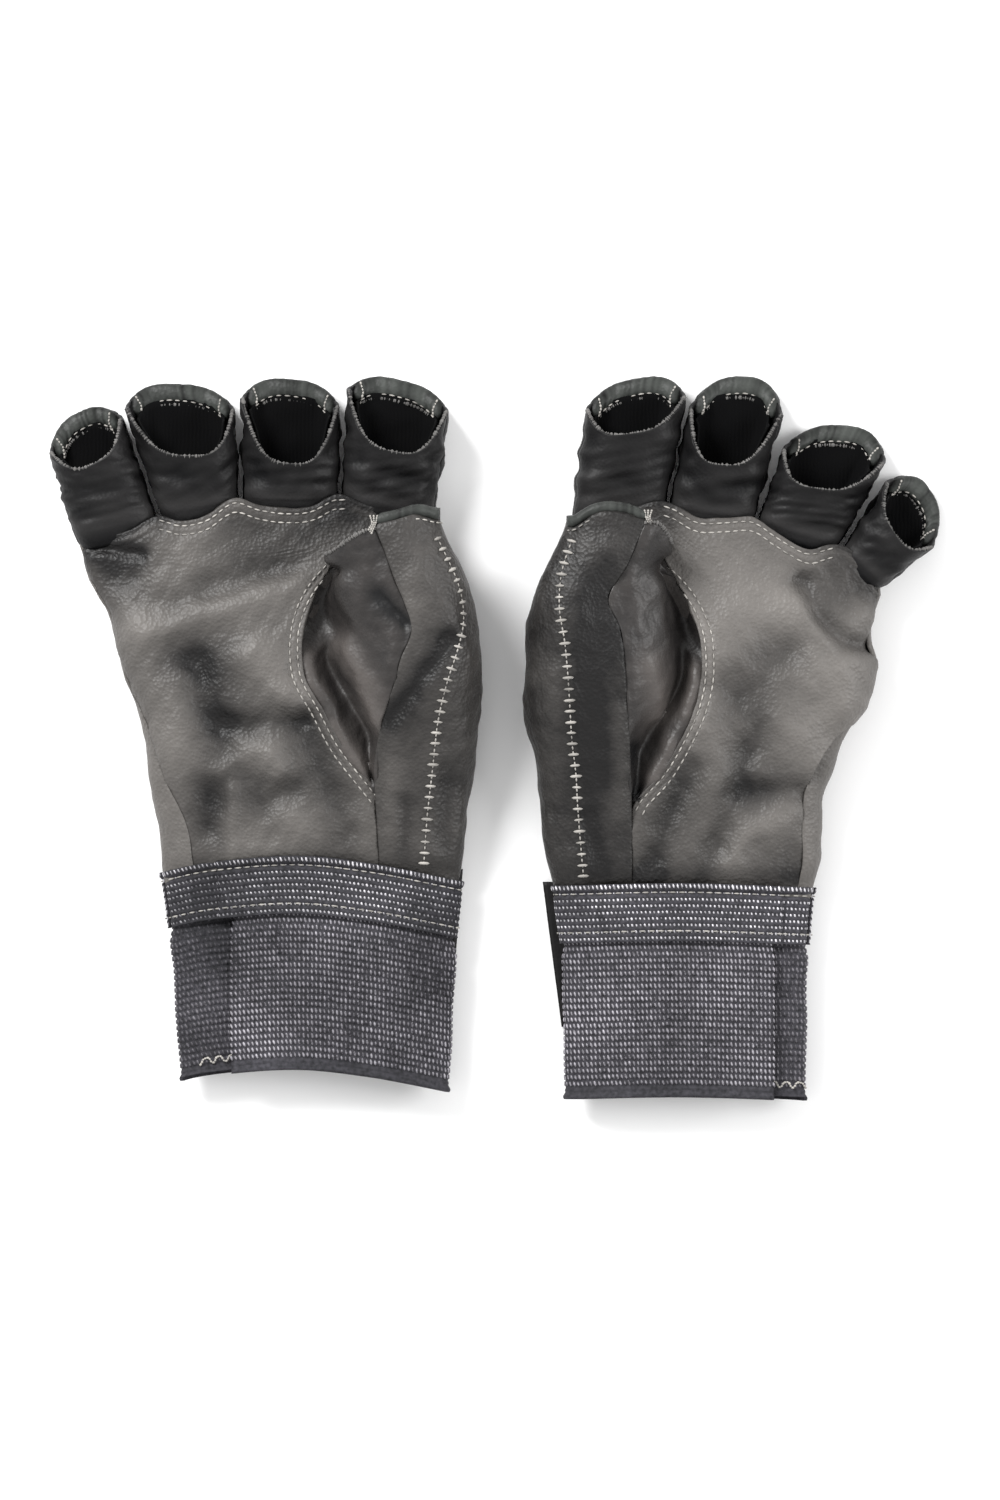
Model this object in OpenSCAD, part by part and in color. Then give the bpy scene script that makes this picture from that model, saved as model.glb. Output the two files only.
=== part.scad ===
// Pair of fingerless leather gloves with elastic wrist bands, lying palms up with the fingers
// towards +Y. Every piece is a shell panel lofted between stations: a flattened ring of outer
// points and the same ring one thickness further in. Ring angles run from 0 at the thumb side
// over 90 at the palm to 180 at the little-finger side and 270 at the back of the hand.

/* [Materials] */
// Thickness of the glove leather
leather_t = 1.1; // [0.9:0.1:1.3]
// Thickness of the knitted lining
lining_t = 0.6; // [0.5:0.1:0.8]
// Thickness of the elastic webbing
webbing_t = 1.2; // [1:0.1:1.4]
// Thickness of the two-layer strap at the back of the wrist
strap_t = 1.8; // [1.4:0.1:2]
// Width of a line of topstitching
thread_w = 0.5; // [0.4:0.1:0.6]

/* [Finger stalls] */
// Height of a finger stall where it leaves the hand
stall_base_h = 16; // [15:0.5:17]
// Height of a finger stall at its open end
stall_tip_h = 19; // [17:0.5:21]
// How far the open end is raised from the table
stall_tip_lift = 1.5; // [1:0.5:2.5]
// Thickness of the turned hem at the end of a stall's back
hem_t = 2.4; // [2:0.1:2.8]

/* [Wrist] */
// Length of the collar band along the arm
collar_len = 19; // [17:1:21]
// Length of the lower wrist band along the arm
cuff_len = 52.9; // [47.9:1:54.9]
// Height of the wrist bands as they lie
wrist_h = 12; // [11:0.5:13]
// Width of the strap at the back of the wrist
strap_w = 15; // [12:1:16]
// Length of the strap
strap_len = 42; // [34:1:46]

/* [Hidden] */
roundness = 0.7;       // power that squares a ring up from a plain ellipse
flat_cut = 0.9;        // share of a ring's lower half that is kept, so its underside is flat
panel_gap = 1;         // half of the gap at a seam between two panels, in degrees
layer_gap = 0.2;       // air between two layers of webbing
lining_gap = 0.8;      // air between the leather and the lining
joint_gap = 0.5;       // air between the hand and a stall
ulnar_seam = 168;      // angle where the palm meets the wrapped edge of the back
radial_seam = -35;     // angle where the thumb-side panel meets the back
stall_seam = 25;       // angle from a stall's side to the edge of its palm panel
ring_steps = 13;       // points across a hand panel
stall_steps = 7;       // points across a stall panel
stall_rings = [0, 0.35, 0.7, 0.86, 0.9, 1];
lining_rings = [0, 0.35, 0.7, 0.82];
collar_tuck = 5;       // length of the lower band hidden in the collar
wrist_lift = 2.2;      // height of the wrist bands above the table, over the strap
slit = 12;             // half of the slit in the lower band, in degrees
stitch_rise = 0.15;    // height of the underside of a stitch line above the leather

DIGITS = ["index", "middle", "ring", "little"];

// One glove: name, side of the thumb (1 = +X), hand stations, front edge, the four stalls,
// thumb stations, thumb arc, thumb seam, wrist stations and the strap's outer edge at its ends.
// A hand station: y, x at the thumb side, x at the little-finger side, height, share of the
// front edge's shape that it follows.
// A stall: thumb-side and little-side corner at the base, the same at the open end, how far the
// palm edge is cut back and how far the back edge runs on.
// A thumb station: y, x at the outer side, x at the palm side, lowest z, height.
RIGHT = [
    "right", 1,
    [[-44, -12.4, -93.8, 9, 0], [-37.2, -11.7, -94.8, 9, 0], [-35, -9.8, -96.2, 13.5, 0],
     [-25, -9.2, -97.2, 16, 0], [-12, -7.4, -99.8, 18.5, 0], [1, -6.4, -101.2, 20, 0],
     [12, -5.6, -103.6, 21, 0], [24, -5.4, -108, 21, 0], [36, -7, -111.5, 20, 0],
     [46, -10, -117, 18.5, 0.2], [55, -14, -119.4, 17.5, 0.6], [66, -17, -119.8, 16.4, 1]],
    [[-120, 57.2], [-97, 64], [-73.5, 69], [-45, 69], [-17, 63.8]],
    [[[-17.6, 64.4], [-44.4, 69.6], [-13.6, 94.5], [-43.0, 98.5], 12, 7.5],
     [[-45.6, 69.6], [-73.0, 69.6], [-44.6, 95.5], [-73.0, 96], 14, 10],
     [[-74.2, 69.4], [-96.4, 64.8], [-74.8, 95], [-104.4, 94], 10, 10.5],
     [[-97.6, 64.4], [-119.4, 58], [-106.2, 90], [-128.4, 85], 8, 9.5]],
    [[-6, -8.5, -35, 14.8, 10], [4, -7.4, -40, 14.8, 14], [16, -5, -44, 14.8, 17.5],
     [28, -4.6, -46, 14.8, 19.5], [38, -6.2, -46, 15.2, 20], [45, -9, -45.6, 19.6, 16.6],
     [50, -11, -45, 19.8, 16.4], [58, -14, -42.5, 19.6, 16], [63, -17, -38.5, 19.4, 15.5]],
    [[-16, -34], [-8.5, -42], [0, -47.6], [8, -52.2], [16, -57], [24, -59], [32, -57.8],
     [42, -54.6], [51, -46.3]],
    [[-40, -33.5], [3, -33.5], [10, -31.5], [24, -27], [33, -24], [47, -29.4], [61, -34.4]],
    [[-37.5, -9.6, -96.8], [-56.5, -11, -94.8], [-102.4, -13.6, -90.6]],
    [-9.5, -13]
];
LEFT = [
    "left", -1,
    [[-47.5, 19.2, 89, 9, 0], [-40.9, 18.4, 90.2, 9, 0], [-38.6, 16.4, 92, 13.5, 0],
     [-25, 13, 94, 16, 0], [-12, 12, 95.5, 18.5, 0], [3, 9.4, 101, 20, 0],
     [15, 9, 108.5, 21, 0], [26, 9.6, 109.3, 21, 0], [36, 10.4, 108.6, 20, 0],
     [44, 12.4, 111.2, 18.5, 0.25], [53, 16, 111.4, 17.5, 0.6], [62, 21.4, 111.4, 16.4, 1]],
    [[21, 63.9], [49.5, 67], [75, 62.8], [99, 55.2], [111.5, 43.8]],
    [[[21.8, 64.5], [48.9, 67.5], [25.8, 96], [55.0, 99.4], 9, 8],
     [[50.1, 67.5], [74.4, 63.6], [56.8, 96.5], [82.2, 92], 14, 12.5],
     [[75.6, 63.2], [98.4, 56.2], [84.0, 84], [110.6, 80], 10, 10.5],
     [[99.8, 55.6], [111.6, 44.8], [112.6, 73.6], [126, 56], 7, 8.5]],
    [[-9, 13, 40, 14.8, 10], [2, 10.6, 44, 14.8, 14], [14, 9.4, 48, 14.8, 17.5],
     [26, 9.2, 50, 14.8, 19.5], [36, 10.2, 51, 15.2, 20], [43.4, 12.4, 50.6, 19.6, 16.6],
     [49, 14.6, 50, 19.8, 16.4], [57, 18, 48, 19.6, 16], [63, 22, 45, 19.4, 15.5]],
    [[-19, 40], [-12, 47], [-5, 51.5], [4, 58], [14, 62], [24, 62.6], [35, 60.5],
     [45, 55], [51, 48]],
    [[-40, 39.6], [4, 38.7], [16, 37.3], [27, 36.4], [35, 33.8], [42, 32], [50, 37.5], [62, 43.6]],
    [[-41.2, 16.4, 92.2], [-60, 18.7, 89.6], [-106, 20.4, 88.8]],
    [13.6, 19.4]
];
GLOVES = [RIGHT, LEFT];

LEATHER = "#4a4643";
STALL_LEATHER = "#252423";
KNIT = "#101011";
WEBBING = "#45424a";
HEM = "#4b504d";
THREAD = "#c9c6bf";

function side(g) = g[1];
function mix(a, b, f) = a + (b - a) * f;
function signed_pow(v) = sign(v) * pow(abs(v), roundness);
// Across and up places on a ring, both from -1 to 1
function ring_across(t) = signed_pow(cos(t));
function ring_up(t) = let (v = signed_pow(sin(t))) v < 0 ? max(v, -flat_cut) / flat_cut : v;
// Ring angle of the upper half where the across place is c
function ring_angle(c) = acos(sign(c) * pow(min(abs(c), 0.999), 1 / roundness));
function steps(t0, t1, n) = [for (k = [0:n]) mix(t0, t1, k / n)];

// A point of the hand: station s, ring angle t, depth o inside the outer surface
function hand_point(g, s, t, o) =
    let (half_w = abs(s[1] - s[2]) / 2 - o,
         x = (s[1] + s[2]) / 2 + side(g) * half_w * ring_across(t),
         front_y = lookup(x, g[3]) - g[2][len(g[2]) - 1][0],
         half_h = s[3] / 2,
         lift = s[0] < g[2][2][0] ? wrist_lift + webbing_t + 1.5 * layer_gap : 0)
    [x, s[0] + s[4] * front_y, lift + half_h + (half_h - o) * ring_up(t)];

// Ring angle on the palm side of station s where the hand is at x
function hand_angle(g, s, x) =
    ring_angle(side(g) * (x - (s[1] + s[2]) / 2) / (abs(s[1] - s[2]) / 2));
function arc_bottom(g) = g[6][0][0];
function arc_top(g) = g[6][len(g[6]) - 1][0];
function in_arc(g, s) = s[0] > arc_bottom(g) && s[0] < arc_top(g);
function arc_angle(g, s) = hand_angle(g, s, lookup(s[0], g[6]));
function seam_angle(g, s) = hand_angle(g, s, lookup(s[0], g[7]));
// Thumb-side edge of the palm panel, and palm-side edge of the thumb-side panel
function palm_start(g, s) =
    in_arc(g, s) ? arc_angle(g, s) : s[0] < arc_bottom(g) ? seam_angle(g, s) : 14;
function radial_end(g, s) = s[0] < arc_bottom(g) ? seam_angle(g, s) : 12;

// Closed solid between an outer and an inner grid of points, one row for each station
module panel(outer, inner, turn) {
    n = len(outer);
    m = len(outer[0]);
    half = n * m;
    quads = concat(
        [for (i = [0:n - 2], j = [0:m - 2])
            [i * m + j, i * m + j + 1, (i + 1) * m + j + 1, (i + 1) * m + j]],
        [for (i = [0:n - 2], j = [0:m - 2])
            [half + i * m + j, half + (i + 1) * m + j,
             half + (i + 1) * m + j + 1, half + i * m + j + 1]],
        [for (i = [0:n - 2]) [i * m, (i + 1) * m, half + (i + 1) * m, half + i * m]],
        [for (i = [0:n - 2]) let (a = i * m + m - 1, b = a + m) [b, a, half + a, half + b]],
        [for (j = [0:m - 2]) [j + 1, j, half + j, half + j + 1]],
        [for (j = [0:m - 2]) let (a = (n - 1) * m + j) [a, a + 1, half + a + 1, half + a]]);
    faces = [for (q = quads) each [[q[0], q[1], q[2]], [q[0], q[2], q[3]]]];
    polyhedron(
        points = concat([for (row = outer) each row], [for (row = inner) each row]),
        faces = turn ? [for (f = faces) [f[2], f[1], f[0]]] : faces);
}

// Panel of the hand: angles is a list of one list of ring angles for each station
module hand_panel(g, stations, angles, depth, thick) {
    rows = [for (o = [depth, depth + thick])
        [for (i = [0:len(stations) - 1]) [for (t = angles[i]) hand_point(g, stations[i], t, o)]]];
    panel(rows[0], rows[1], side(g) < 0);
}

module palm_panel(g) {
    angles = [for (s = g[2]) steps(palm_start(g, s) + panel_gap, ulnar_seam - panel_gap, ring_steps)];
    color(LEATHER) hand_panel(g, g[2], angles, 0, leather_t);
}

module radial_panel(g) {
    angles = [for (s = g[2]) steps(radial_seam + panel_gap, radial_end(g, s) - panel_gap, ring_steps)];
    color(LEATHER) hand_panel(g, g[2], angles, 0, leather_t);
}

module back_panel(g) {
    angles = [for (s = g[2]) steps(ulnar_seam + panel_gap, 360 + radial_seam - panel_gap, ring_steps)];
    color(LEATHER) hand_panel(g, g[2], angles, 0, leather_t);
}

module hand_lining(g) {
    stations = [for (i = [1:len(g[2]) - 1]) g[2][i]];
    angles = [for (s = stations) steps(palm_start(g, s) + 2, 338, 2 * ring_steps)];
    color(KNIT) hand_panel(g, stations, angles, leather_t + lining_gap, lining_t);
}

// A point of a wrist band: the hand's ring at a raised height
function wrist_point(g, y, inset, t, o) =
    let (a = lookup(-y, [for (s = g[8]) [-s[0], s[1]]]),
         b = lookup(-y, [for (s = g[8]) [-s[0], s[2]]]),
         half_w = abs(a - b) / 2 - inset - o,
         half_h = wrist_h / 2)
    [(a + b) / 2 + side(g) * half_w * ring_across(t), y,
     wrist_lift + half_h + (half_h - inset - o) * ring_up(t)];

module wrist_piece(g, rings, inset, angles, thick) {
    rows = [for (o = [0, thick]) [for (y = rings) [for (t = angles) wrist_point(g, y, inset, t, o)]]];
    panel(rows[len(rows) - 2], rows[len(rows) - 1], side(g) > 0);
}

function collar_top(g) = g[8][0][0];
function collar_end(g) = collar_top(g) - collar_len;

module collar_band(g) {
    rings = [collar_top(g), collar_top(g) - collar_len / 2, collar_end(g)];
    color(WEBBING) wrist_piece(g, rings, 0, steps(181, 539, 2 * ring_steps), webbing_t);
}

module cuff_band(g) {
    top = collar_end(g) + collar_tuck;
    rings = [for (k = [0:3]) top - (cuff_len - 0.5) * k / 3];
    color(WEBBING)
        wrist_piece(g, rings, webbing_t + layer_gap,
                    steps(180 + slit, 540 - slit, 2 * ring_steps), webbing_t);
}

module cuff_underlap(g) {
    top = collar_end(g) + collar_tuck;
    rings = [for (k = [0:2]) top - (cuff_len - 2) * k / 2];
    color(WEBBING)
        wrist_piece(g, rings, 2 * (webbing_t + layer_gap), steps(150, 205, stall_steps), webbing_t);
}

module back_strap(g) {
    top = collar_top(g) + 1;
    across = -side(g) * strap_w;
    color(STALL_LEATHER)
        linear_extrude(height = strap_t)
            polygon([[g[9][0], top], [g[9][0] + across, top],
                     [g[9][1] + across, top - strap_len], [g[9][1], top - strap_len]]);
}

// Square cord through the points of a path, lying just above the surface that they are on
module stitch_line(path) {
    n = len(path);
    across = [for (k = [0:n - 1])
        let (a = path[max(k - 1, 0)], b = path[min(k + 1, n - 1)], v = b - a)
        [v[1], -v[0], 0] * (thread_w / 2) / norm([v[0], v[1]])];
    left = [for (k = [0:n - 1]) [for (z = [0, thread_w]) path[k] - across[k] + [0, 0, stitch_rise + z]]];
    right = [for (k = [0:n - 1]) [for (z = [0, thread_w]) path[k] + across[k] + [0, 0, stitch_rise + z]]];
    panel(left, right, false);
}

module seam_threads(g) {
    arc_stations = [for (s = g[2]) if (in_arc(g, s)) s];
    front = g[2][len(g[2]) - 1];
    behind = g[2][len(g[2]) - 2];
    from = hand_angle(g, front, g[4][1][0][0]);
    to = hand_angle(g, front, g[4][2][1][0]);
    palm_stations = [for (s = g[2]) if (s[0] < arc_bottom(g) && s[0] > collar_top(g) + 1) s];
    color(THREAD) {
        for (row = [3, 5.5])
            stitch_line([for (s = arc_stations) hand_point(g, s, arc_angle(g, s) + row, -0.2)]);
        for (row = [0.55, 0.75])
            stitch_line([for (t = steps(from, to, 8))
                mix(hand_point(g, behind, t, -0.2), hand_point(g, front, t, -0.2), row)]);
        stitch_line([for (s = palm_stations) hand_point(g, s, 22, -0.4)]);
    }
}

// A point of a stall: d is the stall's list, f runs from 0 at the base to 1 at the open end
function stall_point(d, f, t, o) =
    let (a = mix(d[0], d[2], f), b = mix(d[1], d[3], f),
         middle = (a + b) / 2, out = (a - b) / 2, half_w = norm(out),
         axis = ((d[2] + d[3]) - (d[0] + d[1])) / norm((d[2] + d[3]) - (d[0] + d[1])),
         up = ring_up(t),
         half_h = mix(stall_base_h, stall_tip_h, f) / 2,
         run = up > 0 ? -d[4] * pow(up, 1.5) * f : -d[5] * up * f,
         plan = middle + out * ((half_w - o) / half_w) * ring_across(t)
                + axis * (run + joint_gap * (1 - f)))
    [plan[0], plan[1], mix(0.3, stall_tip_lift, f) + half_h + (half_h - o) * up];

module stall_panel(g, d, rings, t0, t1, n, depth, thick) {
    rows = [for (k = [0, 1]) [for (i = [0:len(rings) - 1])
        [for (t = steps(t0, t1, n)) stall_point(d, rings[i], t, depth + k * thick[i])]]];
    panel(rows[0], rows[1], side(g) < 0);
}

function even(v, rings) = [for (r = rings) v];

module stall_palm(g, k) {
    t0 = k == 0 ? -stall_seam : stall_seam;
    t1 = k == 3 ? 180 + stall_seam : 180 - stall_seam;
    color(STALL_LEATHER)
        stall_panel(g, g[4][k], stall_rings, t0 + 2, t1 - 2, stall_steps + 3, 0,
                    even(leather_t, stall_rings));
}

module stall_back(g, k) {
    color(STALL_LEATHER)
        stall_panel(g, g[4][k], stall_rings, 182 + stall_seam, 358 - stall_seam, stall_steps, 0,
                    [for (r = stall_rings) r > 0.88 ? hem_t : leather_t]);
}

module stall_fourchette(g, k) {
    color(STALL_LEATHER) {
        if (k > 0)
            stall_panel(g, g[4][k], stall_rings, 2 - stall_seam, stall_seam - 2, 3, 0,
                        even(leather_t, stall_rings));
        if (k < 3)
            stall_panel(g, g[4][k], stall_rings, 182 - stall_seam, 178 + stall_seam, 3, 0,
                        even(leather_t, stall_rings));
    }
}

module stall_lining(g, k) {
    color(KNIT)
        stall_panel(g, g[4][k], lining_rings, 32, 388, 2 * stall_steps, leather_t + lining_gap,
                    even(lining_t, lining_rings));
}

// A point of the thumb, whose stations stand across the hand
function thumb_point(g, s, t, o) =
    let (half_w = abs(s[1] - s[2]) / 2 - o, half_h = s[4] / 2,
         run = s == g[5][len(g[5]) - 1] ? 3 * ring_up(t) : 0)
    [(s[1] + s[2]) / 2 + side(g) * half_w * ring_across(t), s[0] + run,
     s[3] + half_h + (half_h - o) * ring_up(t)];
function thumb_seam(g, s) =
    ring_angle(side(g) * (lookup(s[0], g[7]) - (s[1] + s[2]) / 2) / (abs(s[1] - s[2]) / 2));

module thumb_panel(g, angles, depth, thick) {
    rows = [for (o = [depth, depth + thick])
        [for (i = [0:len(g[5]) - 1]) [for (t = angles[i]) thumb_point(g, g[5][i], t, o)]]];
    panel(rows[0], rows[1], side(g) < 0);
}

module thumb_outer(g) {
    angles = [for (s = g[5]) steps(-88, thumb_seam(g, s) - panel_gap, ring_steps - 3)];
    color(LEATHER) thumb_panel(g, angles, 0, leather_t);
}

module thumb_inner(g) {
    angles = [for (s = g[5]) steps(thumb_seam(g, s) + panel_gap, 268, ring_steps - 3)];
    color(STALL_LEATHER) thumb_panel(g, angles, 0, leather_t);
}

module thumb_lining(g) {
    angles = [for (s = g[5]) steps(32, 388, 2 * stall_steps)];
    color(KNIT) thumb_panel(g, angles, leather_t + lining_gap, lining_t);
}

// The hem is a strip sewn round the mouth, just past the thumb's last station
module thumb_hem(g) {
    last = g[5][len(g[5]) - 1];
    ends = [for (a = [0.3, 3.2]) [for (t = steps(-20, 200, ring_steps)) [0, a, 0] + thumb_point(g, last, t, 0)]];
    inner = [for (a = [0.3, 3.2]) [for (t = steps(-20, 200, ring_steps)) [0, a, 0] + thumb_point(g, last, t, hem_t)]];
    color(HEM) panel(ends, inner, side(g) < 0);
}

for (g = GLOVES) {
    palm_panel(g);
    back_panel(g);
    radial_panel(g);
    hand_lining(g);
    collar_band(g);
    cuff_band(g);
    cuff_underlap(g);
    back_strap(g);
    seam_threads(g);
    thumb_outer(g);
    thumb_inner(g);
    thumb_hem(g);
    thumb_lining(g);
    for (k = [0:3]) {
        stall_palm(g, k);
        stall_back(g, k);
        stall_fourchette(g, k);
        stall_lining(g, k);
    }
}
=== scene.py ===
import math

import bpy
import numpy as np
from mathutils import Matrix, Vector
from mathutils.bvhtree import BVHTree


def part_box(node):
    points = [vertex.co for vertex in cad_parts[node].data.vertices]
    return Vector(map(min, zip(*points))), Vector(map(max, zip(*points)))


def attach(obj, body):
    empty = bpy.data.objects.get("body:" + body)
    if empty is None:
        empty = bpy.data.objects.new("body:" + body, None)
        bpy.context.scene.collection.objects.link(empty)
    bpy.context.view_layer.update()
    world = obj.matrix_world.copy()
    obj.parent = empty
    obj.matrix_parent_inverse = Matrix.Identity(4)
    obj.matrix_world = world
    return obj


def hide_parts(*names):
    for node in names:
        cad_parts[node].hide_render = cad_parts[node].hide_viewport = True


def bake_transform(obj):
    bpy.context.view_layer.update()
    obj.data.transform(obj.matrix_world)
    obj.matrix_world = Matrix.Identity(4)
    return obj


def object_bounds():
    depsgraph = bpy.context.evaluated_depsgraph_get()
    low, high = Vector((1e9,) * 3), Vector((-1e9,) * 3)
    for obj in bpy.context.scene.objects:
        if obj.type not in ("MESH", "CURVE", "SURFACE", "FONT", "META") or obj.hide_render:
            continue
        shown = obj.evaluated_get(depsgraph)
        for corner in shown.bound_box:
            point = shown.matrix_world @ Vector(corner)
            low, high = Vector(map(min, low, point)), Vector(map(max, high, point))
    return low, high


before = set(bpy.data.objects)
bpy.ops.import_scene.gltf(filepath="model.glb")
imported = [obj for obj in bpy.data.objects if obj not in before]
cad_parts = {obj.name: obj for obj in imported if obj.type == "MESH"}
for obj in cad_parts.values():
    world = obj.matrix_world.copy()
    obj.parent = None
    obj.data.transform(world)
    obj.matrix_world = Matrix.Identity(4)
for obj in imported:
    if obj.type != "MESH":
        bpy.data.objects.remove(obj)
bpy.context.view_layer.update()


# Camera, floor and lights: a straight look down on the pair, lying on a pale table under
# large soft lamps.
MM = 0.001
VIEW_TALL = 0.435
CAMERA_HEIGHT = 2.4
(low, high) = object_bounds()
middle = [(low[k] + high[k]) / 2 for k in range(3)]

camera = bpy.data.objects.new("camera", bpy.data.cameras.new("camera"))
camera.data.sensor_fit = "VERTICAL"
camera.data.sensor_height = 36
camera.data.lens = 36 * CAMERA_HEIGHT / VIEW_TALL
camera.location = (middle[0] + 0.0012, middle[1] - 0.002, CAMERA_HEIGHT)
bpy.context.collection.objects.link(camera)
bpy.context.scene.camera = camera
bpy.context.scene.view_settings.view_transform = "Standard"

floor_mesh = bpy.data.meshes.new("table_top")
floor_mesh.from_pydata([(-2, -2, -0.0004), (2, -2, -0.0004), (2, 2, -0.0004), (-2, 2, -0.0004)],
                       [], [(0, 1, 2, 3)])
table_top = bpy.data.objects.new("table_top", floor_mesh)
bpy.context.collection.objects.link(table_top)
table_paint = bpy.data.materials.new("table_paint")
table_paint.use_nodes = True
table_paint.node_tree.nodes["Principled BSDF"].inputs["Base Color"].default_value = (0.97, 0.97, 0.97, 1)
table_paint.node_tree.nodes["Principled BSDF"].inputs["Roughness"].default_value = 0.9
floor_mesh.materials.append(table_paint)

sky = bpy.data.worlds.new("studio")
sky.use_nodes = True
sky.node_tree.nodes["Background"].inputs["Color"].default_value = (1, 1, 1, 1)
sky.node_tree.nodes["Background"].inputs["Strength"].default_value = 0.82
bpy.context.scene.world = sky
for (name, place, size, power) in (("lamp_upper_left", (-0.75, 0.8, 0.9), 0.5, 24),
                                   ("lamp_right", (1.0, 0.1, 0.7), 0.5, 8)):
    lamp = bpy.data.objects.new(name, bpy.data.lights.new(name, "AREA"))
    lamp.data.size = size
    lamp.data.energy = power
    lamp.location = place
    lamp.rotation_euler = (Vector((0, 0, 0)) - Vector(place)).to_track_quat("-Z", "Y").to_euler()
    bpy.context.collection.objects.link(lamp)


# Palm panels: one piece of distressed grey-brown leather for each glove, cut round the thumb,
# turned and sewn to the wrapped edge of the back at the little-finger side. Each glove has its
# own frame in millimetres: a runs from the collar's middle towards the thumb, b from the
# collar's upper edge towards the fingers.
SIDE = {"right": 1, "left": -1}
DIGITS = ("index", "middle", "ring", "little")
LEATHER_THICK = 1.1
SQUARE = 0.7
PALM_END = 100


def curve(*knots):
    """Smooth value along a line of (place, value) knots, level past both ends."""
    (x, y) = np.array(sorted(knots), float).T
    slope = np.gradient(y, x)

    def value(q):
        q = np.clip(q, x[0], x[-1])
        k = np.clip(np.searchsorted(x, q) - 1, 0, len(x) - 2)
        h = x[k + 1] - x[k]
        t = (q - x[k]) / h
        return ((2 * t**3 - 3 * t**2 + 1) * y[k] + (t**3 - 2 * t**2 + t) * h * slope[k]
                + (3 * t**2 - 2 * t**3) * y[k + 1] + (t**3 - t**2) * h * slope[k + 1])
    return value


# thumb and little: the hand's edges by b; front: the palm's upper edge by a; arc: the palm's cut
# round the thumb by b; seam: the thumb's ridge by b; wrap: how far the back's edge comes over
# the palm by b
CUT = {
    "right": {
        "thumb": curve((-4, 42), (0, 43), (12, 44.5), (25, 46), (40, 48), (54, 49), (64, 49.3), (72, 48.3),
                       (80, 46.5), (87, 43.5), (95, 39), (104, 36)),
        "little": curve((-4, -42), (0, -43), (13, -44), (24, -46.5), (39, -48), (49, -50.5), (56, -53.5),
                        (67, -56.5), (75, -58.5), (80, -61.5), (86, -64.5), (96, -67)),
        "front": curve((-67, 95), (-60, 97), (-52, 99), (-44, 103), (-38, 101.5), (-30, 103), (-22, 108),
                       (-15, 106), (-8, 105), (0, 105.5), (8, 109), (16, 106), (26, 104), (36, 102)),
        "arc": curve((22, 20.5), (27, 16.5), (36, 9.5), (48, 3), (56, -1.5), (64, -2.6), (73, -1.5),
                     (82, 3), (88, 8.5)),
        "seam": curve((0, 19.7), (40, 19.7), (47, 21.5), (54, 24), (62, 26.3), (70, 29.3), (77, 27.5),
                      (85, 24), (92, 21.5), (99, 18.8)),
        "wrap": curve((0, 9.5), (18, 7.5), (28, 4.5), (40, 2), (50, 0.3)),
    },
    "left": {
        "thumb": curve((-4, 36), (0, 37.5), (16, 41), (38, 43), (45, 45.2), (63, 45.8), (75, 45.7), (84, 43),
                       (92, 39.4), (106, 33)),
        "little": curve((-4, -36.5), (0, -37.5), (6, -39.5), (16, -40), (27, -40.5), (34, -43.5),
                        (43, -46), (53, -53), (60, -55.3), (65, -55.8), (71, -54), (77, -54.3), (84, -57)),
        "front": curve((-57, 86), (-53, 91), (-48, 97), (-43, 98.5), (-36, 97), (-27, 101.5), (-20, 106),
                       (-12, 106), (-4, 106), (5, 110.5), (18, 108), (32, 106)),
        "arc": curve((20, 16), (25, 13.5), (31, 8), (43, 0.6), (54, -3.8), (65, -5), (74, -3.8), (83, 0.7),
                     (91, 8.5)),
        "seam": curve((0, 15), (24, 15.2), (44, 16), (63, 17.3), (74, 18.6), (82, 22), (92, 16.5),
                      (104, 11.3)),
        "wrap": curve((0, 4.5), (16, 6), (27, 5.5), (34, 6), (42, 3), (48, 0.3)),
    },
}
TOP = curve((-4, 12.5), (0, 12.8), (3, 14.8), (12, 16.5), (25, 18.5), (38, 20), (50, 21), (74, 20.5),
            (84, 19), (92, 18), (104, 17.2), (110, 17))
UNDER = curve((-4, 4), (0, 3.8), (3, 1.8), (8, 0.7), (14, 0.4))
ARC_END = {"right": 88, "left": 91}
# How far the rows of topstitching lie in from the cut round the thumb and from the front edge
ARC_STITCHES = (1.2, 3.4)
FRONT_STITCHES = (1.4, 4)

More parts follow.
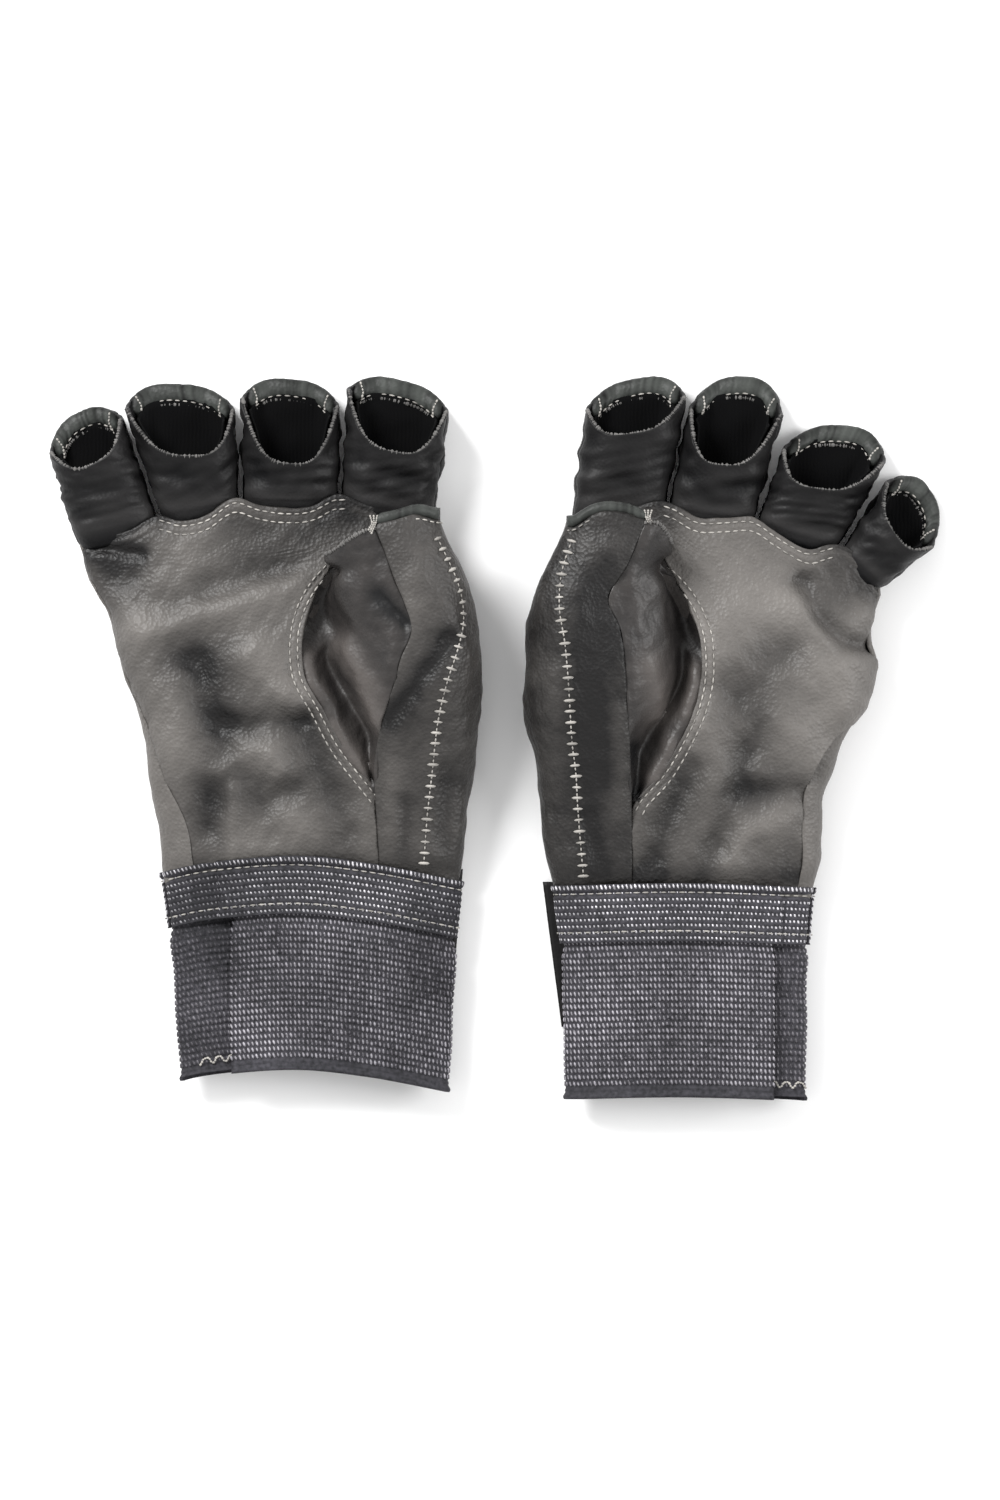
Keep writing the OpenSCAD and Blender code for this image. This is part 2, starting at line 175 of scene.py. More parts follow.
# Folds of a panel: points along it, half width, height, change of tone. The change of tone is partly the
# leather's own wear and mottling and partly painted shade in the valleys and painted highlight on the
# ridges; the strips along the front edge with no height are painted shadow under the stall bases.
PALM_FOLDS = {
    "right": [
        ([(-63, 94), (-49, 92)], 2, -2, -0.2), ([(-56, 86)], 7, -1.2, -0.24), ([(-37, 91)], 8, 0.8, 0.2),
        ([(-44, 76), (-25, 83), (-4, 89)], 4.5, -2, -0.15), ([(-48, 70), (-26, 76), (-3, 85)], 5, 1.8, 0.2),
        ([(-48, 72)], 6, 0.9, 0.2), ([(-20, 97), (-4, 99)], 7, -0.8, -0.16),
        ([(-36, 63), (-31, 60)], 8, -1.4, -0.24),
        ([(-33, 60), (-28, 41), (-17, 28)], 5, -1.8, -0.13), ([(-25, 43), (-2, 44)], 4, -2, -0.16),
        ([(-16, 63), (-5, 49)], 5, 1.7, 0.2), ([(-2, 43), (3, 31), (11, 13)], 5, -1.9, -0.16),
        ([(-40, 50), (-38, 38)], 6, 1.2, 0.2), ([(-13, 34), (-10, 30)], 5, 1.7, 0.2),
        ([(-26, 29), (-20, 34)], 3.4, 1.3, 0.14), ([(-28, 25), (-29, 14)], 4.5, -2, -0.24),
        ([(-22.5, 24), (-22.5, 5)], 2, 1.1, 0.1), ([(-14, 20), (-5, 24)], 4, -1.8, -0.18),
        ([(-5, 15)], 6, 1.2, 0.18), ([(-17, 8)], 5, 0.8, 0.12), ([(14, 18), (16, 5)], 4, 0.8, 0.1),
        ([(-40, 2), (20, 3)], 2.5, -0.8, -0.14), ([(-68, 98), (-46, 103)], 6, 0, -0.4),
        ([(12, 109), (36, 104)], 6, 0, -0.4), ([(-44, 103), (-8, 104), (8, 108)], 2.5, 0, -0.12),
    ],
    "left": [
        ([(-15, 84), (-9, 74)], 13, 1.2, 0.24), ([(-16, 55), (-30, 66)], 6, -1.8, -0.22),
        ([(-35, 79), (-43, 62), (-46, 52)], 8, 1.9, 0.28),
        ([(-34, 88), (-39, 78), (-46, 70), (-55, 69)], 2.6, -2.4, -0.22),
        ([(-42, 84)], 5, -1.6, -0.24), ([(-52, 78)], 4, 1.2, 0.16), ([(-33, 45), (-38, 34)], 7, 1.2, 0.16),
        ([(-20, 27), (-33, 28)], 4, -1.9, -0.2), ([(-2, 34), (4, 20), (10, 4)], 4, -1.9, -0.2),
        ([(-22, 46), (-15, 30), (-7, 4)], 3.6, -1.6, -0.15),
        ([(-30, 22), (-18, 14), (-11, 3)], 3.6, 1.7, 0.2), ([(-6, 44), (-9, 24)], 5, 1.3, 0.1),
        ([(-31, 5)], 6, -0.8, -0.14), ([(-37, 2), (15, 2)], 2.5, -0.8, -0.14),
        ([(-58, 88), (-48, 101)], 5, 0, -0.4), ([(8, 112), (32, 108)], 6, 0, -0.4),
        ([(-44, 98), (-20, 105), (4, 109)], 3, 0, -0.12),
    ],
}


def to_row(glove, points):
    """Glove frame in millimetres to the row's frame in metres."""
    (low, high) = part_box(f"{glove}_collar_band")
    points = np.asarray(points, float)
    x = (low[0] + high[0]) / 2 + SIDE[glove] * points[..., 0] * MM
    return np.stack([x, high[1] + points[..., 1] * MM, points[..., 2] * MM], -1)


def signed_power(v):
    return np.sign(v) * np.abs(v) ** SQUARE


def ring_up(turn):
    """Height on a squared ring, from -1 to 1, with a flat underside."""
    v = signed_power(np.sin(turn))
    return np.where(v < 0, np.maximum(v, -0.9) / 0.9, v)


def turn_at(c):
    """Angle of the ring's upper half where its across place is c."""
    c = np.clip(c, -0.999, 0.999)
    return np.arccos(np.sign(c) * np.abs(c) ** (1 / SQUARE))


def hand_surface(glove, row, turn, depth):
    """Points of the hand: row is the nominal b, turn goes from the thumb over the palm."""
    cut = CUT[glove]
    b = row + 0 * turn
    follow = np.clip((row - 70) / (PALM_END - 70), 0, 1) ** 2
    for _ in range(6):
        (outer, inner) = (cut["thumb"](b), cut["little"](b))
        a = (outer + inner) / 2 + ((outer - inner) / 2 - depth) * signed_power(np.cos(turn))
        b = row + follow * (cut["front"](a) - PALM_END)
    half = (TOP(b) - UNDER(b)) / 2
    return np.stack([a, b, UNDER(b) + half + (half - depth) * ring_up(turn)], -1)


def even_steps(points, count):
    run = np.concatenate([[0], np.cumsum(np.linalg.norm(np.diff(points, axis=0), axis=1))])
    q = np.linspace(0, run[-1], count)
    return np.stack([np.interp(q, run, points[:, k]) for k in range(points.shape[1])], 1)


def hand_grid(glove, rows, starts, ends, columns):
    grid = []
    for (row, start, end) in zip(rows, starts, ends):
        grid.append(even_steps(hand_surface(glove, row, np.linspace(start, end, 500), 0), columns))
    return np.array(grid)


def fold_relief(points, folds):
    """Height, and tone with its painted shade and highlight, that a list of folds gives at each point."""
    height = np.zeros(points.shape[:-1])
    tone = np.zeros(points.shape[:-1])
    for (line, width, rise, shade) in folds:
        line = np.array(line, float)
        near = np.full(height.shape, 1e9)
        ends = [(line[0], line[0])] if len(line) == 1 else list(zip(line[:-1], line[1:]))
        for (p, q) in ends:
            along = q - p
            t = ((points[..., :2] - p) @ along) / max(along @ along, 1e-9)
            foot = p + np.clip(t, 0, 1)[..., None] * along
            near = np.minimum(near, np.linalg.norm(points[..., :2] - foot, axis=-1))
        near = np.maximum(near + 0.14 * width * wander(points[..., :2], 8 + 2 * width, 6), 0)
        height += rise * np.exp(-(near / width) ** 2)
        tone += shade * np.exp(-(near / (1.7 * width)) ** 2)
    return (height, tone)


def wander(points, size, seed):
    """Soft seeded waves about size millimetres long, mostly from -1 to 1."""
    rng = np.random.default_rng(seed)
    total = 0
    for _ in range(9):
        way = rng.normal(size=points.shape[-1])
        way /= np.linalg.norm(way) * size * rng.uniform(0.6, 1.7)
        total = total + np.sin(2 * math.pi * (points @ way) + rng.uniform(0, 6.3))
    return total / 3


def grid_normals(grid, closed):
    if closed:
        across = np.roll(grid, -1, 1) - np.roll(grid, 1, 1)
    else:
        across = np.gradient(grid, axis=1)
    normal = np.cross(across, np.gradient(grid, axis=0))
    return normal / np.maximum(np.linalg.norm(normal, axis=-1, keepdims=True), 1e-9)


def outward(grid, core, closed=False):
    """Unit normals of a grid that point away from its core, one core point for each row."""
    normal = grid_normals(grid, closed)
    facing = np.sum(normal * (grid - np.asarray(core, float)[:, None, :]))
    return normal if facing > 0 else -normal


def add_piece(name, vertices, faces, material, tone):
    mesh = bpy.data.meshes.new(name)
    mesh.from_pydata(vertices.tolist(), [], faces)
    mesh.update()
    mesh.shade_smooth()
    mesh.attributes.new("tone", "FLOAT", "POINT").data.foreach_set("value", tone.astype(np.float32))
    mesh.materials.append(material)
    piece = bpy.data.objects.new(name, mesh)
    bpy.context.collection.objects.link(piece)
    return piece


def shell(name, glove, grid, normal, thick, material, tone, closed=False):
    """A closed sheet: grid is its outer face, normal points out of it, thick goes inwards."""
    (n, m) = grid.shape[:2]
    inner = grid - normal * np.broadcast_to(thick, (n, m))[..., None]
    index = np.arange(n * m).reshape(n, m)
    ring = np.concatenate([index, index[:, :1]], 1) if closed else index
    (p, q, r, s) = (ring[:-1, :-1], ring[:-1, 1:], ring[1:, 1:], ring[1:, :-1])
    outer_faces = np.stack([p, q, r, s], -1).reshape(-1, 4)
    inner_faces = outer_faces[:, ::-1] + n * m
    rims = [(ring[0], False), (ring[-1], True)]
    if not closed:
        rims += [(ring[:, 0], True), (ring[:, -1], False)]
    walls = []
    for (line, back) in rims:
        wall = np.stack([line[:-1], line[:-1] + n * m, line[1:] + n * m, line[1:]], -1)
        walls.append(wall[:, ::-1] if back else wall)
    faces = np.concatenate([outer_faces, inner_faces, *walls])
    vertices = to_row(glove, np.concatenate([grid.reshape(-1, 3), inner.reshape(-1, 3)]))
    corners = vertices[faces]
    centre = vertices.mean(0)
    spread = [corners[:, k] - centre for k in range(4)]
    volume = (np.einsum("ij,ij->i", spread[0], np.cross(spread[1], spread[2])).sum()
              + np.einsum("ij,ij->i", spread[0], np.cross(spread[2], spread[3])).sum())
    if volume < 0:
        faces = faces[:, ::-1]
    tone = np.broadcast_to(tone, (n, m)).reshape(-1)
    return add_piece(name, vertices, faces.tolist(), material, np.concatenate([tone, tone]))


def add_node(tree, kind, inputs=(), **settings):
    """A node of a tree; inputs gives each socket its value or the output that feeds it."""
    made = tree.nodes.new(kind)
    for (key, value) in settings.items():
        setattr(made, key, value)
    for (key, value) in dict(inputs).items():
        if isinstance(value, bpy.types.NodeSocket):
            tree.links.new(value, made.inputs[key])
        else:
            made.inputs[key].default_value = value
    return made


def start_material(name, roughness, gloss):
    """A new material with its tree, its shader and the piece's own coordinates."""
    material = bpy.data.materials.new(name)
    material.use_nodes = True
    tree = material.node_tree
    shader = tree.nodes["Principled BSDF"]
    shader.inputs["Roughness"].default_value = roughness
    shader.inputs["Specular IOR Level"].default_value = gloss
    return (material, tree, shader, add_node(tree, "ShaderNodeTexCoord").outputs["Object"])


def add_colour(tree, shader, amount, dark_at, dark, light_at, light):
    ramp = add_node(tree, "ShaderNodeValToRGB", {"Fac": amount})
    for (stop, at, colour) in zip(ramp.color_ramp.elements, (dark_at, light_at), (dark, light)):
        stop.position = at
        stop.color = (*colour, 1)
    tree.links.new(ramp.outputs["Color"], shader.inputs["Base Color"])


def add_bump(tree, shader, height, strength, distance):
    bump = add_node(tree, "ShaderNodeBump", {"Height": height, "Strength": strength, "Distance": distance})
    tree.links.new(bump.outputs["Normal"], shader.inputs["Normal"])


def leather(name, dark, light, roughness, grain, clouds, gloss):
    """Dyed leather: the tone attribute (the leather's own mottling together with painted shade and
    highlight) and broad clouds set its colour, fine pebbles and pores its bump.
    """
    (material, tree, shader, place) = start_material(name, roughness, gloss)
    total = add_node(tree, "ShaderNodeAttribute", attribute_name="tone").outputs["Fac"]
    for (scale, detail, amount) in ((55, 5, clouds), (420, 4, clouds * 0.5)):
        noise = add_node(tree, "ShaderNodeTexNoise", {"Vector": place, "Scale": scale, "Detail": detail})
        part = add_node(tree, "ShaderNodeMath", {0: noise.outputs["Fac"], 1: amount, 2: -amount / 2},
                        operation="MULTIPLY_ADD")
        total = add_node(tree, "ShaderNodeMath", {0: total, 1: part.outputs[0]}).outputs[0]
    add_colour(tree, shader, total, 0, dark, 1, light)
    pebble = add_node(tree, "ShaderNodeTexVoronoi", {"Vector": place, "Scale": 950})
    crease = add_node(tree, "ShaderNodeTexNoise", {"Vector": place, "Scale": 500, "Detail": 6})
    both = add_node(tree, "ShaderNodeMath", {0: pebble.outputs["Distance"], 1: crease.outputs["Fac"]})
    add_bump(tree, shader, both.outputs[0], grain, 0.0005)
    worn = add_node(tree, "ShaderNodeMapRange",
                    {"Value": crease.outputs["Fac"], "To Min": roughness + 0.1, "To Max": roughness - 0.08})
    tree.links.new(worn.outputs["Result"], shader.inputs["Roughness"])
    return material


palm_leather = leather("palm_leather", (0.005, 0.0045, 0.0045), (0.154, 0.143, 0.133),
                       0.48, 0.42, 0.32, 0.34)
palms = {}
for glove in SIDE:
    cut = CUT[glove]
    rows = np.concatenate([np.arange(-4, 86, 1.0), np.arange(86, PALM_END + 0.01, 0.7)])
    (outer, inner) = (cut["thumb"](rows), cut["little"](rows))
    (centre, half) = ((outer + inner) / 2, (outer - inner) / 2)
    edge = np.where(rows < 22, cut["seam"](rows), cut["arc"](rows))
    lead = np.clip((rows - ARC_END[glove]) / 5, 0, 1)
    lead = lead * lead * (3 - 2 * lead)
    edge = edge + (centre + half * 0.97 - edge) * lead
    starts = turn_at((edge - centre) / half)
    ends = turn_at((inner + cut["wrap"](rows) - centre) / half)
    grid = hand_grid(glove, rows, starts, ends, 104)
    core = np.stack([centre, rows, np.full(len(rows), -30.0)], -1)
    normal = outward(grid, core)
    (height, tone) = fold_relief(grid, PALM_FOLDS[glove])
    height = (height + 0.35 * wander(grid[..., :2], 17, 3) + 0.16 * wander(grid[..., :2], 6, 4)
              + 0.06 * wander(grid[..., :2], 2.6, 5))
    calm = np.clip((grid[..., 1] - 1) / 6, 0, 1)
    # the cut edges are turned under, and the two rows of stitches pull a groove each
    from_arc = np.where((grid[..., 1] > 22) & (grid[..., 1] < ARC_END[glove] + 1),
                        cut["arc"](grid[..., 1]) - grid[..., 0], 99)
    from_front = cut["front"](grid[..., 0]) - grid[..., 1]
    for (gap, rows_in) in ((from_arc, ARC_STITCHES), (from_front, FRONT_STITCHES)):
        for row_in in rows_in:
            height = height - 0.4 * np.exp(-((gap - row_in) / 0.6) ** 2)
        tone = tone + 0.14 * np.exp(-((gap - 2.4) / 1.8) ** 2)
    grid = grid + normal * (height * calm)[..., None]
    # tone: the folds' mottling with their painted shade and highlight, and each ridge painted lighter and
    # each hollow darker by its height
    tone = 0.43 + 1.15 * tone + 0.08 * height
    palms[glove] = shell(f"{glove}_palm_leather", glove, grid, outward(grid, core), LEATHER_THICK,
                         palm_leather, tone)
    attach(palms[glove], f"{glove}_hand")
    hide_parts(f"{glove}_palm_panel")


# Backs: the same leather from the seam by the little finger, round the edge and under the
# hand to the thumb's side, where it is sewn to the laddered panel. It is seen only at its edge.
for glove in SIDE:
    cut = CUT[glove]
    rows = np.concatenate([np.arange(-4, 86, 1.5), np.arange(86, PALM_END + 0.01, 1.0)])
    (outer, inner) = (cut["thumb"](rows), cut["little"](rows))
    (centre, half) = ((outer + inner) / 2, (outer - inner) / 2)
    starts = turn_at((inner + cut["wrap"](rows) - centre) / half)
    ends = 2 * math.pi + np.interp(rows, (78, 88), (-0.75, 0.2))
    grid = hand_grid(glove, rows, starts, ends, 110)
    core = np.stack([centre, rows, TOP(rows) / 2], -1)
    normal = outward(grid, core)
    height = 0.3 * wander(grid, 15, 11) + 0.1 * wander(grid, 5, 12)
    height = height * np.clip((grid[..., 1] - 1) / 6, 0, 1)
    height = np.where(grid[..., 2] < 2.5, np.minimum(height, 0), height)
    grid = grid + normal * height[..., None]
    # tone: ridges painted lighter and hollows darker by their height, and the upper half painted lighter
    # where the lamps fall on it
    tone = 0.5 + 0.16 * height + 0.12 * (grid[..., 2] > 8)
    piece = shell(f"{glove}_back_leather", glove, grid, outward(grid, core), LEATHER_THICK,
                  palm_leather, tone)
    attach(piece, f"{glove}_hand")
    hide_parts(f"{glove}_back_panel")


# Thumb side: one long leather panel from the wrist over the ball of the thumb to its mouth.
# It carries the laddered topstitch.
RIDGE = curve((-4, 12.4), (0, 12.7), (3, 14.8), (12, 16.8), (24, 19.6), (40, 25.5), (55, 30.5), (70, 33.5),
              (85, 34.8), (104, 35.2))
THUMB_END = {"right": 100, "left": 104}
MOUTH = {"right": curve((5, 92), (16, 99), (25, 101.5), (31, 103), (36, 102)),
         "left": curve((3.5, 99), (8, 105), (11, 105), (17, 107), (27, 106.5), (32, 103.5))}
SIDE_FOLDS = {
    "right": [([(40, 67), (30, 53), (23, 44)], 2.6, -1.6, -0.3), ([(27, 21), (27, 3)], 2, -1, -0.2),
              ([(24, 60), (30, 76)], 3, 0.8, 0.2), ([(24, 30), (24, 12)], 3, 0.8, 0.22),
              ([(33, 90), (27, 80)], 4, 0.8, 0.12), ([(40, 30), (38, 8)], 2.5, -0.7, -0.12)],
    "left": [([(24, 90), (27, 60), (24, 30)], 4, -0.6, -0.16), ([(19, 50), (18, 20)], 2.4, 0.7, 0.16),
             ([(38, 60), (37, 30)], 3, 0.5, 0.1), ([(28, 20), (24, 4)], 2.4, -0.9, -0.16)],
}


def section_grid(rows, sections, columns):
    """Rows of smooth cross sections, each through its own (a, z) points."""
    knots = np.linspace(0, 1, sections.shape[1])
    fine = np.linspace(0, 1, 160)
    grid = []
    for (b, section) in zip(rows, sections):
        line = np.stack([curve(*zip(knots, section[:, k]))(fine) for k in (0, 1)], -1)
        line = even_steps(line, columns)
        grid.append(np.stack([line[:, 0], np.full(columns, b), line[:, 1]], -1))
    return np.array(grid)


def slant_to_mouth(grid, glove):
    end = THUMB_END[glove]
    follow = np.clip((grid[..., 1] - end + 22) / 22, 0, 1) ** 2
    grid[..., 1] += follow * (MOUTH[glove](grid[..., 0]) - end)
    return grid


def bend_with_thumb(piece):
    """Bakes the piece's transform into its mesh."""
    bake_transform(piece)


side_panels = {}
for glove in SIDE:
    cut = CUT[glove]
    rows = np.arange(-4, THUMB_END[glove] + 0.01, 1.0)
    (seam, edge, top) = (cut["seam"](rows), cut["thumb"](rows), RIDGE(rows))
    under = np.interp(rows, (-4, 0, 4, 76, 90), (4, 3.8, 1.4, 1.2, 20))
    free = np.interp(rows, (76, 90), (0, 1))
    sections = np.stack([
        np.stack([seam, top], -1),
        np.stack([seam * 0.66 + edge * 0.34, top + 0.9 * np.clip(rows / 20, 0, 1)], -1),
        np.stack([seam * 0.33 + edge * 0.67, top - 0.4], -1),
        np.stack([edge - 2.4, top - (top - under) * 0.2], -1),
        np.stack([edge, (top + under) / 2], -1),
        np.stack([edge - 1.6, under + (top - under) * 0.13], -1),
        np.stack([edge - 7 - 5 * free, under], -1)], 1)
    grid = slant_to_mouth(section_grid(rows, sections, 74), glove)
    core = np.stack([(seam + edge) / 2 - 4, rows, (top + under) / 2 - 2], -1)
    normal = outward(grid, core)
    (height, tone) = fold_relief(grid, SIDE_FOLDS[glove])
    height = height + 0.3 * wander(grid, 15, 21) + 0.12 * wander(grid, 5, 22)
    height = height * np.clip((grid[..., 1] - 1) / 6, 0, 1) * np.clip(grid[..., 2] / 8, 0, 1)
    grid = grid + normal * height[..., None]
    # tone: a base for each glove, the folds' mottling with their painted shade and highlight, and ridges
    # painted lighter and hollows darker by their height
    tone = (0.21 if glove == "right" else 0.08) + 0.55 * tone + 0.08 * height
    piece = shell(f"{glove}_thumb_side_leather", glove, grid, outward(grid, core), LEATHER_THICK,
                  palm_leather, tone)
    side_panels[glove] = piece
    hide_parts(f"{glove}_radial_panel", f"{glove}_thumb_outer")
    bend_with_thumb(piece)


# Thumb gussets: black leather from the ridge down into the pocket beside the palm, and up
# under the palm's cut edge. Past the crotch it closes the underside of the thumb.
GUSSET_ROWS = (20, 26, 38, 50, 62, 72, 82, 89, 94, 104)
# For each row: share of the way from the ridge to the cut edge, and height
GUSSET = np.array([
    [(0, 16.6), (0.2, 16.3), (0.4, 16.2), (0.6, 16.2), (0.9, 16.2), (1.1, 16.0)],
    [(0, 20.4), (0.12, 18.6), (0.25, 16.8), (0.45, 16.4), (0.85, 18.0), (1.3, 17.2)],
    [(0, 24.8), (0.08, 22.0), (0.16, 17.5), (0.3, 15.0), (0.8, 19.4), (1.25, 18.2)],
    [(0, 29.0), (0.16, 27.2), (0.4, 21.0), (0.56, 14.5), (0.86, 19.8), (1.15, 18.8)],
    [(0, 32.2), (0.2, 30.6), (0.52, 24.0), (0.74, 13.5), (0.9, 19.0), (1.12, 18.8)],
    [(0, 33.6), (0.3, 31.8), (0.56, 26.5), (0.68, 18.0), (0.86, 14.0), (1.12, 18.4)],
    [(0, 34.2), (0.35, 33.0), (0.74, 29.0), (0.84, 21.0), (0.92, 15.5), (1.15, 18.0)],
    [(0, 34.6), (0.4, 33.6), (0.92, 29.0), (1.0, 22.0), (1.02, 17.5), (1.2, 17.2)],
    [(0, 34.8), (0.45, 33.8), (0.98, 28.2), (0.94, 22.0), (0.5, 20.0), (-0.4, 20.0)],
    [(0, 35.0), (0.45, 34.2), (1.0, 28.6), (0.94, 22.4), (0.5, 20.0), (-0.4, 20.0)]])
POCKET_EDGE = {"right": curve((88, 8.5), (92, 5.5), (100, 5)), "left": curve((91, 8), (99, 3.7), (104, 3.5))}
GUSSET_FOLDS = {
    "right": [([(10, 66), (16, 54), (19, 44)], 2.4, 1.0, 0.3), ([(27, 72), (20, 80)], 2, -1.2, -0.1),
              ([(7, 41), (15, 30)], 2.2, 0.6, 0.3), ([(0, 52), (-1, 62)], 2.2, 0.5, 0.24)],
    "left": [([(10, 63), (7, 50)], 3, 1.0, 0.36), ([(14, 40), (14, 26)], 1.6, -0.8, -0.1),
             ([(4, 40), (9, 31)], 2.2, 0.6, 0.28), ([(-2, 50), (-3, 62)], 2.2, 0.5, 0.3)],
}
gusset_leather = leather("gusset_leather", (0.004, 0.004, 0.0045), (0.14, 0.124, 0.115),
                         0.44, 0.2, 0.25, 0.35)
gusset_mouths = {}
for glove in SIDE:
    cut = CUT[glove]
    rows = np.arange(21 if glove == "right" else 19.5, THUMB_END[glove] + 0.01, 0.9)
    seam = cut["seam"](rows)
    edge = np.where(rows < ARC_END[glove], cut["arc"](rows), POCKET_EDGE[glove](rows))
    sections = np.empty((len(rows), 6, 2))
    late = rows - (0 if glove == "right" else 3) * np.clip((rows - 62) / 20, 0, 1)
    for k in range(6):
        share = curve(*zip(GUSSET_ROWS, GUSSET[:, k, 0]))(late)
        sections[:, k, 0] = seam + (edge - seam) * share
        sections[:, k, 1] = curve(*zip(GUSSET_ROWS, GUSSET[:, k, 1]))(late)
    grid = slant_to_mouth(section_grid(rows, sections, 64), glove)
    core = np.stack([(seam + edge) / 2 + 4, rows, np.full(len(rows), 2.0)], -1)
    core[rows > 70, 2] = 24
    normal = outward(grid, core)
    (height, tone) = fold_relief(grid, GUSSET_FOLDS[glove])
    height = height + 0.3 * wander(grid, 11, 31) + 0.1 * wander(grid, 4, 32)
    grid = grid + normal * (height * np.clip((sections[:, 0, 1] - 18) / 6, 0, 1)[:, None])[..., None]
    # tone: the folds' painted highlight and shade, and ridges painted lighter and hollows darker by their
    # height
    tone = 0.16 + tone + 0.08 * height
    piece = shell(f"{glove}_thumb_gusset", glove, grid, outward(grid, core), LEATHER_THICK,
                  gusset_leather, tone)
    gusset_mouths[glove] = grid[-1][grid[-1, :, 2] > 26]
    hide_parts(f"{glove}_thumb_inner")
    bend_with_thumb(piece)


# Crotch pieces: a small black leather web under the top of the palm's cut edge, which closes
# the pocket between the thumb and the palm.
for glove in SIDE:
    rows = np.arange(50, 98, 2.0)
    left = CUT[glove]["arc"](rows) - 5
    share = np.linspace(0, 1, 24)
    a = left[:, None] + (CUT[glove]["seam"](rows) + 4 - left)[:, None] * share
    grid = np.stack([a, rows[:, None] + 0 * a, 0 * a], -1)
    sag = np.interp(rows, (70, 88), (6.5, 0.8))[:, None] * np.sin(np.pi * np.clip(share * 1.4, 0, 1)) ** 2
    grid[..., 2] = 17 - sag + 0.25 * wander(grid, 8, 37)
    core = np.stack([a.mean(1), rows, np.full(len(rows), -30.0)], -1)
    piece = shell(f"{glove}_thumb_crotch_web", glove, grid, outward(grid, core), 0.9, gusset_leather, 0.4)
    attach(piece, f"{glove}_hand")
    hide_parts(f"{glove}_thumb_inner")


# Index side: under the lifted thumb the hand is closed by a strip of the same leather round the
# index side, and a black web runs from it up to the underside of the thumb's mouth.
for glove in SIDE:
    cut = CUT[glove]
    rows = np.arange(10, PALM_END - 0.4, 1.5)
    share = np.linspace(0, 1, 60)
    last_turn = np.interp(rows, (80, 92), (0.7, 1.5))
    turn = -1.2 + (last_turn[:, None] + 1.2) * share
    grid = hand_surface(glove, rows[:, None], turn, 2.4)
    grid = grid - 0.001 * wander(grid, 12, 51)[..., None]
    core = np.stack([0 * rows, rows, TOP(rows) / 2], -1)
    piece = shell(f"{glove}_index_side_leather", glove, grid, outward(grid, core), 0.8, palm_leather, 0.4)
    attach(piece, f"{glove}_hand")
    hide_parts(f"{glove}_palm_panel")

    end = THUMB_END[glove]
    (pocket, outer) = (float(POCKET_EDGE[glove](end)), float(cut["thumb"](end)))
    across = np.linspace(0, 1, 40)[None, :]
    down = np.linspace(0, 1, 26)[:, None]
    b = end - 3.5 - 7 * down - 7 * down * np.clip(2 * across - 1, 0, 1) ** 2
    a = pocket + 2 + (cut["thumb"](b) - 2.2 - pocket - 2) * across
    b = b + 0.9 * (MOUTH[glove](a) - end) * (1 - down)
    z = 20.4 - 5.6 * down - 1.2 * np.sin(math.pi * down) + 0 * a
    grid = np.stack([a, b, z], -1)
    core = np.stack([a.mean(1), b.mean(1) - 20, z.mean(1) - 2], -1)
    piece = shell(f"{glove}_thumb_underside_web", glove, grid, outward(grid, core), 0.7,
                  gusset_leather, 0.12)
    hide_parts(f"{glove}_thumb_inner")
    middle = (pocket + outer) / 2
    (start, stop) = [Vector(to_row(glove, (middle, end - 8, v))) for v in (16, 19.6)]
    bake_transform(piece)


# Finger stalls: short open tubes of soft black leather in four pieces: palm side, back and a
# strip on each side. The back runs on past the mouth, the palm side is cut back in a curve.

# A stall: thumb-side and little-side corner at its base, the same at the mouth, how far the
# palm edge is cut back and how far the back runs on
STALLS = {
    "right": {"index": ((35.6, 102), (8.8, 107), (39.6, 133), (10.2, 139.5), 15, 5.5),
              "middle": ((7.6, 107), (-19.8, 107), (8.2, 134.5), (-20.4, 137), 18, 6.2),
              "ring": ((-21, 107), (-43.2, 102.3), (-22, 133.5), (-54, 134), 14, 7),
              "little": ((-44.4, 102), (-68, 96), (-54.5, 131), (-75.6, 121), 8.6, 6.8)},
    "left": {"index": ((32.5, 105.7), (5.4, 108.7), (28.5, 137.2), (-0.7, 141), 9, 7),
             "middle": ((4.2, 108.7), (-20.1, 104.8), (-1.4, 137.4), (-28.6, 136), 16, 10),
             "ring": ((-21.3, 104.4), (-44.1, 97.4), (-28.2, 125.8), (-58, 121.8), 10.5, 9.2),
             "little": ((-45.5, 96.8), (-57.3, 86), (-58.2, 116.5), (-71.7, 97.2), 7, 9)},
}
PALM_SEAM = math.radians(9)
BACK_SEAM = math.radians(25)


def stall_surface(stall, f, turn, depth):
    """Points of a stall: f runs from 0 at the base to 1 at the mouth."""
    (a0, b0, a1, b1) = [np.array(stall[k], float) for k in range(4)]
    (f, turn) = np.broadcast_arrays(f, turn)
    axis = (a1 + b1) - (a0 + b0)
    axis /= np.linalg.norm(axis)
    thumb_side = a0 + (a1 - a0) * f[..., None]
    little_side = b0 + (b1 - b0) * f[..., None]
    out = (thumb_side - little_side) / 2
    half = np.linalg.norm(out, axis=-1)
    up = ring_up(turn)
    grow = np.clip(f, 0, 1)
    cut_back = stall[4] * (1 - np.abs(signed_power(np.cos(turn))) ** 3.2)
    run = np.where(np.sin(turn) > 0, -cut_back, stall[5] * np.abs(np.sin(turn)) ** 1.3) * grow
    plan = ((thumb_side + little_side) / 2
            + out * (((half - depth) / half) * signed_power(np.cos(turn)))[..., None]
            + axis * run[..., None])
    half_tall = (16 + 3 * grow) / 2
    z = 0.3 + 1.2 * grow + half_tall + (half_tall - depth) * up
    return np.concatenate([plan, z[..., None]], -1)


